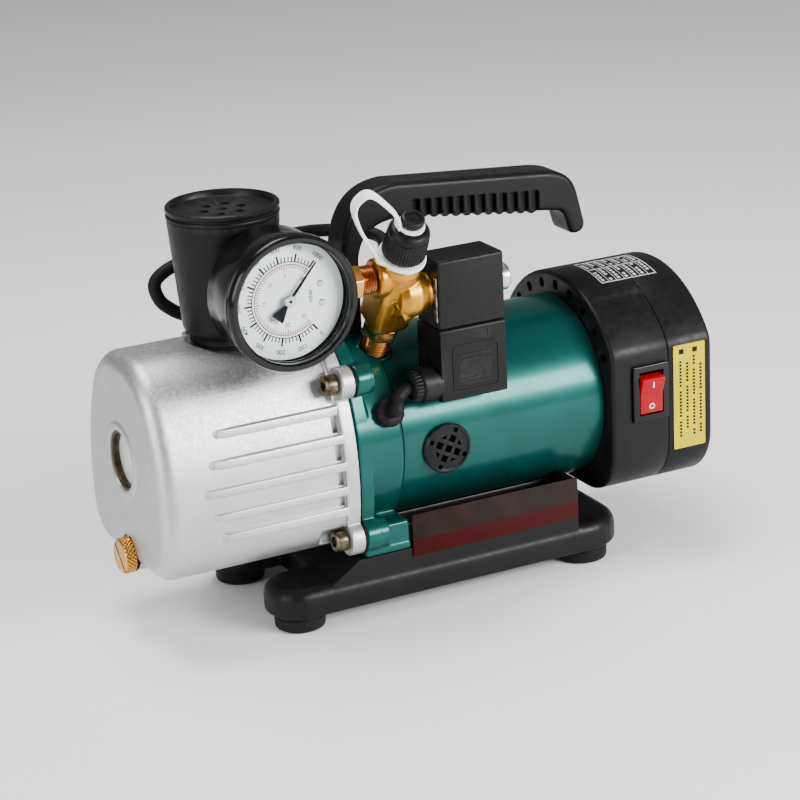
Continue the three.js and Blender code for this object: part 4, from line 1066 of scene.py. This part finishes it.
def solenoid():
    x0, x1, y0, y1, z0, z1 = COIL.x0, COIL.x1, COIL.y0, COIL.y1, COIL.z0, COIL.z1
    axis_z = COIL.axis_z
    coil = soften(prism(rounded_rect(y0, y1, z0 + GAP, z1, 1.6, 5), "x", x0, x1), 0.9, 3, 60)
    bore = rod_x(5.3, x0 - 1, x1 + 1, MANIFOLD.y, axis_z)
    piece(cut(coil, bore), "coil_block", "black_plastic", "solenoid_coil")
    yoke = soften(block(x0 - 0.8, x0 - 0.05, y0 + 1.2, y0 + 3.4, z0 + 4, z1 - 8), 0.2, 2)
    piece(yoke, "coil_yoke_edge", "dark_steel")
    nut = on_shaft([(6.2, GAP), (6.6, 1), (6.6, 6.2), (6, 7), (5.3, 7.2), (5.3, GAP)], MANIFOLD.y, axis_z, x1)
    piece(nut, "coil_clip_nut", "steel", "coil_nut")

    housing = prism(rounded_rect(y0, PLUG.y1, PLUG.z0, z0, 1.4, 5), "x", x0, x1)
    deeper = prism(rounded_rect(y0 + 3, PLUG.deep, PLUG.step, z0 - 0.01, 1.4, 5), "x", x0, x1)
    housing = soften(unite(housing, deeper), 0.7, 3, 60)
    outer = prism(rounded_rect(x0 + 6, x1 - 4, PLUG.z0 + 4, z0 - 8.5, 2.5, 5), "y", y0 - 0.35, y0 + 1)
    inner = prism(rounded_rect(x0 + 6.7, x1 - 4.7, PLUG.z0 + 4.7, z0 - 9.2, 2, 5), "y", y0 - 2, y0 + 3)
    mark = block(x1 - 9.6, x1 - 9, y0 - 0.35, y0 + 1, z0 - 7.4, z0 - 2.6)
    bars = [block(x0 + 10.5, x1 - 8.5, y0 - 0.3, y0 + 1, z, z + 0.6) for z in (112, 114.4, 123.6, 126)]
    unite(housing, cut(outer, inner), mark, *bars)
    lead_room = rod_x(3.4, x0 - 14, x0 - 8, GLAND.y, GLAND.z)
    gland = on_shaft([(0, -13), (6.2, -13), (7, -12.4), (7.4, -9.4), (7.4, -9), (8.1, -8.8), (8.7, -8.2),
        (8.7, 1), (0, 1)], GLAND.y, GLAND.z, x0, sides=180, wave=lambda a, r, h: 0.25 * sin(24 * a)
        if h < -9.2 and r > 6.5 else 0)
    unite(housing, cut(gland, lead_room))
    piece(housing, "coil_connector_moulding", "black_plastic", "coil_connector", sharp=40)

    grommet = grommet_frame()
    lead = tube([(x0 - 9, GLAND.y, GLAND.z), (x0 - 15, GLAND.y - 0.5, GLAND.z - 0.5),
        (x0 - 20.5, GLAND.y - 2, GLAND.z - 3.5), grommet @ Vector((0, 0, 60)),
        grommet @ Vector((0, 0, 55.3))], 3, 60)
    piece(lead, "coil_lead_sleeve", "rubber", "coil_lead")
    cap = lathe([(0, 45), (0, 55), (4.4, 55), (5, 54.8), (6.6, 53.6), (7, 52.8), (7, 49.8), (6.8, 49.6),
        (5, 49.6), (5, 45)], sides=160, wave=lambda a, r, h: -0.3 * max(0, sin(12 * a)) if r > 6.4 else 0)
    piece(moved(cap, grommet), "lead_grommet_cap", "rubber", "lead_grommet")


# ---- vacuum gauge
def on_dial(profile, sides=128, start=GAUGE.front):
    return on_y(profile, GAUGE.x, MANIFOLD.z, start, sides=sides)


def dial_point(r, turn, y):
    """A point on the dial; the turn is in degrees from +X towards +Z."""
    a = radians(turn)
    return GAUGE.x + r * cos(a), y, MANIFOLD.z + r * sin(a)


SCALE_START, SCALE_SWEEP = -49, 262          # the zero mark, and degrees clockwise to the last mark
PRINT = 0.05                                 # thickness of the scales' marks


def tick(share, r0, r1, half, y):
    turn = radians(SCALE_START - SCALE_SWEEP * share)
    mark = block(r0, r1, y - PRINT, y, -half, half)
    return moved(mark, turned_at((GAUGE.x, 0, MANIFOLD.z), -turn, "Y"))


def scale_arc(r, half, y):
    turns = [SCALE_START - SCALE_SWEEP * i / 90 for i in range(91)]
    corners = ((-half, y - PRINT), (half, y - PRINT), (half, y), (-half, y))
    ring = [[dial_point(r + out, t, level) for out, level in corners] for t in turns]
    return loft(ring)


def dial_text(words, size, r, share, y, top=None):
    """Words on the dial with their tops pointing outward, or towards the turn given as top."""
    font = bpy.data.curves.new("text", "FONT")
    font.body, font.size, font.extrude, font.offset = words, size, 0.03, 0.03
    font.align_x, font.align_y = "CENTER", "CENTER"
    holder = placed("text", font)
    mesh = finished_mesh(holder)
    bpy.data.objects.remove(holder)
    turn = SCALE_START - SCALE_SWEEP * share
    x, _, z = dial_point(r, turn, y)
    a = radians(turn if top is None else top)
    across, up = sin(a), cos(a)
    facing = Matrix(((across, up, 0, x), (0, 0, -1, y), (-up, across, 0, z), (0, 0, 0, 1)))
    mesh.transform(TO_FRAME @ facing)
    return placed("text", mesh)


def gauge_face(y):
    outer = [scale_arc(17.8, 0.22, y)]
    for i in range(51):
        long = i % 5 == 0
        outer.append(tick(i / 50, 17.8, 21.6 if long else 20.2, 0.45 if long else 0.28, y))
    outer += [dial_text(str(i * 100), 3.1, 24.3, i / 10, y - 0.03) for i in range(11)]
    outer.append(dial_text("mbar", 3.2, 11.4, 0.5 + 180 / SCALE_SWEEP, y - 0.03, top=180))
    piece(merged(outer), "dial_black_scale", "gloss_black", look=BLACK_INK)
    inner = [scale_arc(16.6, 0.18, y)]
    for i in range(61):
        inner.append(tick(i / 60, 14.8 if i % 10 else 13.8, 16.6, 0.2, y))
    inner += [dial_text(str(30 - i * 5), 2.6, 11.6, i / 6, y - 0.03) for i in range(7)]
    piece(merged(inner), "dial_red_scale", "red_plastic", look=RED_INK)
    screws = []
    for turn in (-13, 17):
        x, _, z = dial_point(17.5, turn, y)
        head = on_y([(0, -0.8), (1.2, -0.7), (1.6, -0.3), (1.7, 0), (0, 0)], x, z, y, sides=32)
        screws.append(cut(head, block(x - 2, x + 2, y - 2, y - 0.45, z - 0.2, z + 0.2)))
    piece(merged(screws), "dial_screws", "steel")


def gauge():
    front, back, r, dial = GAUGE.front, GAUGE.back, GAUGE.r, GAUGE.dial
    rim = front + 8 - back
    shell = on_dial([(0, 0), (r - 3.4, 0), (r - 2.2, -0.5), (r - 1.5, -1.6), (r - 1.3, rim), (r - 3.2, rim),
        (r - 3.2, -2.5), (0, -2.5)], 160, back)
    cut(shell, rod_x(6.4, GAUGE.x + 24, GAUGE.x + 40, MANIFOLD.y, MANIFOLD.z))
    piece(shell, "gauge_can", "gloss_black", "gauge_case")
    bezel = on_dial([(r - 0.3, 7.7), (r, 7.2), (r, 5.4), (r - 0.5, 4.9), (r - 0.5, 4.4), (r, 3.9), (r, 2.2),
        (r - 0.5, 0.8), (r - 1.4, 0), (dial + 0.9, 0), (dial, 0.9), (dial, 3.4), (r - 2.8, 4.6),
        (r - 1.8, 7.7)], 160)
    piece(bezel, "gauge_bezel_ring", "gloss_black", "gauge_bezel")
    lens = on_dial([(0, 3.7), (dial - 0.4, 3.7), (dial - 0.4, 5), (0, 5)])
    piece(lens, "gauge_window", "clear_glass", "gauge_lens")
    face = on_dial([(1.6, 9), (dial, 9), (dial, 10), (1.6, 10)])
    piece(face, "dial_plate", "dial_white", "gauge_dial")
    gauge_face(front + 9)

    half = [(-10.2, -2.9), (-9.9, -3.2), (-9.2, -3.1), (-3, -1), (2, -0.75), (20.8, -0.28)]
    shape = half + [(21.6, 0)] + [(x, -z) for x, z in reversed(half)]
    spindle = turned_at((GAUGE.x, 0, MANIFOLD.z), radians(SCALE_SWEEP - SCALE_START), "Y")
    needle = unite(prism(shape, "y", front + 6.4, front + 7.1),
        rod(1.2, (0, front + 7, 0), (0, front + 19, 0), 24))
    piece(moved(needle, spindle), "pointer_needle", "gloss_black", "gauge_pointer", body="pointer",
        look=BLACK_INK)
    hub = on_dial([(0.8, 5.4), (2.5, 5.5), (2.9, 5.9), (2.9, 6.3), (0.8, 6.3)], 64)
    piece(hub, "pointer_hub", "steel", body="pointer")
    pin = on_dial([(0, 5.2), (0.7, 5.3), (0.7, 6.4), (0, 6.4)], 32)
    piece(pin, "pointer_pin", "gloss_black", body="pointer", look=BLACK_INK)

    x, y, z = GAUGE.x, MANIFOLD.y, MANIFOLD.z
    movement = soften(block(x - 12, x + 12, front + 11, front + 24, z - 9, z + 9), 0.6, 2)
    hexagon = on_shaft([(0, x + r - 1), (7.8, x + r - 1), (8.6, x + r), (8.6, -44.1), (7.8, -43.4),
        (0, -43.4)], y, z, sides=6)
    thread = on_shaft([(0, -44), (6.2, -44), *thread_profile(6.9, -43.5, -36.4, 0.8, 1.4), (0, -36.4)], y, z)
    stem = unite(movement, rod_x(5, x + 8, x + r, y, z), soften(hexagon, 0.4, 2, 25))
    cut(stem, rod(1.6, (x, front, z), (x, front + 22, z), 24))
    piece(stem, "gauge_stem_turned", "polished_brass", "gauge_stem", sharp=50)
    piece(thread, "gauge_stem_thread", "copper_brass", sharp=50)


# ---- hose
def vacuum_hose():
    """Formed rubber hose behind the handle and the filter, held at both ends."""
    route = [(-12, -26.5, 160), (-10, -12, 161.5), (-3, 6, 164.5), (1, 20, 167), (-6, 31, 169),
        (-20, 35, 170.5), (-34, 35.5, 171.5), (-60, 35, 171), (-88, 34.5, 169), (-103, 34, 166.5),
        (-112.5, 33.5, 160.5), (-111.5, 32, 152), (-105.5, 30.5, 146), (-98.5, 29.3, 142), (-97, 29, 138.5),
        (-97, 29, 134.3)]
    piece(tube(route, 3.2, 220, 24), "vacuum_hose_formed", "rubber", "vacuum_hose")


# ---- studio
def studio():
    bpy.ops.mesh.primitive_plane_add(size=14)
    floor = bpy.context.object
    floor.name = "studio_floor"
    look = Look("floor")
    look.base((0.9, 0.9, 0.9), 0.6)
    look.vary((0.87, 0.87, 0.87), 400)
    floor.data.materials.append(look.material)

    world = bpy.data.worlds.new("studio")
    world.use_nodes = True
    world.node_tree.nodes["Background"].inputs["Color"].default_value = (1, 1, 1, 1)
    world.node_tree.nodes["Background"].inputs["Strength"].default_value = 0.27
    bpy.context.scene.world = world

    def softbox(name, place, aim, size, power):
        light = bpy.data.lights.new(name, "AREA")
        light.shape = "RECTANGLE"
        light.size, light.size_y = size
        light.energy = power
        holder = placed(name, light)
        holder.location = place
        holder.rotation_mode = "QUATERNION"
        holder.rotation_quaternion = (Vector(aim) - Vector(place)).to_track_quat("-Z", "Y")
    softbox("key_side", (0.75, -1.15, 0.62), (0.02, 0, 0.1), (0.9, 0.42), 46)
    softbox("left_front", (-1.3, -0.35, 0.6), (-0.1, 0, 0.1), (0.7, 0.8), 16)
    softbox("overhead", (-0.15, 0.25, 1.35), (0, 0, 0.1), (0.8, 0.5), 19)


def camera():
    yaw, pitch, roll = (radians(a) for a in (-26.41, 18.97, -2.73))
    lens = bpy.data.cameras.new("camera")
    lens.lens, lens.sensor_width = 121.2, 36
    lens.clip_end = 30
    holder = placed("camera", lens)
    level = Matrix.Rotation(yaw, 4, "Z") @ Matrix.Rotation(pi / 2 - pitch, 4, "X")
    place = Matrix.Translation(ORIGIN + Vector((-558.5, -1120.3, 518.9)) * MM)
    holder.matrix_world = place @ level @ Matrix.Rotation(roll, 4, "Z")
    bpy.context.scene.camera = holder


finish_cad_nodes()
base()
oil_case()
sight_glass()
drain_plug()
case_bolts()
exhaust_filter()
pump_casing()
motor_shell()
side_vent()
rear_cover()
power_switch()
cover_labels()
carry_handle()
inlet_manifold()
flare_cap()
cap_strap()
solenoid()
gauge()
vacuum_hose()
studio()
camera()
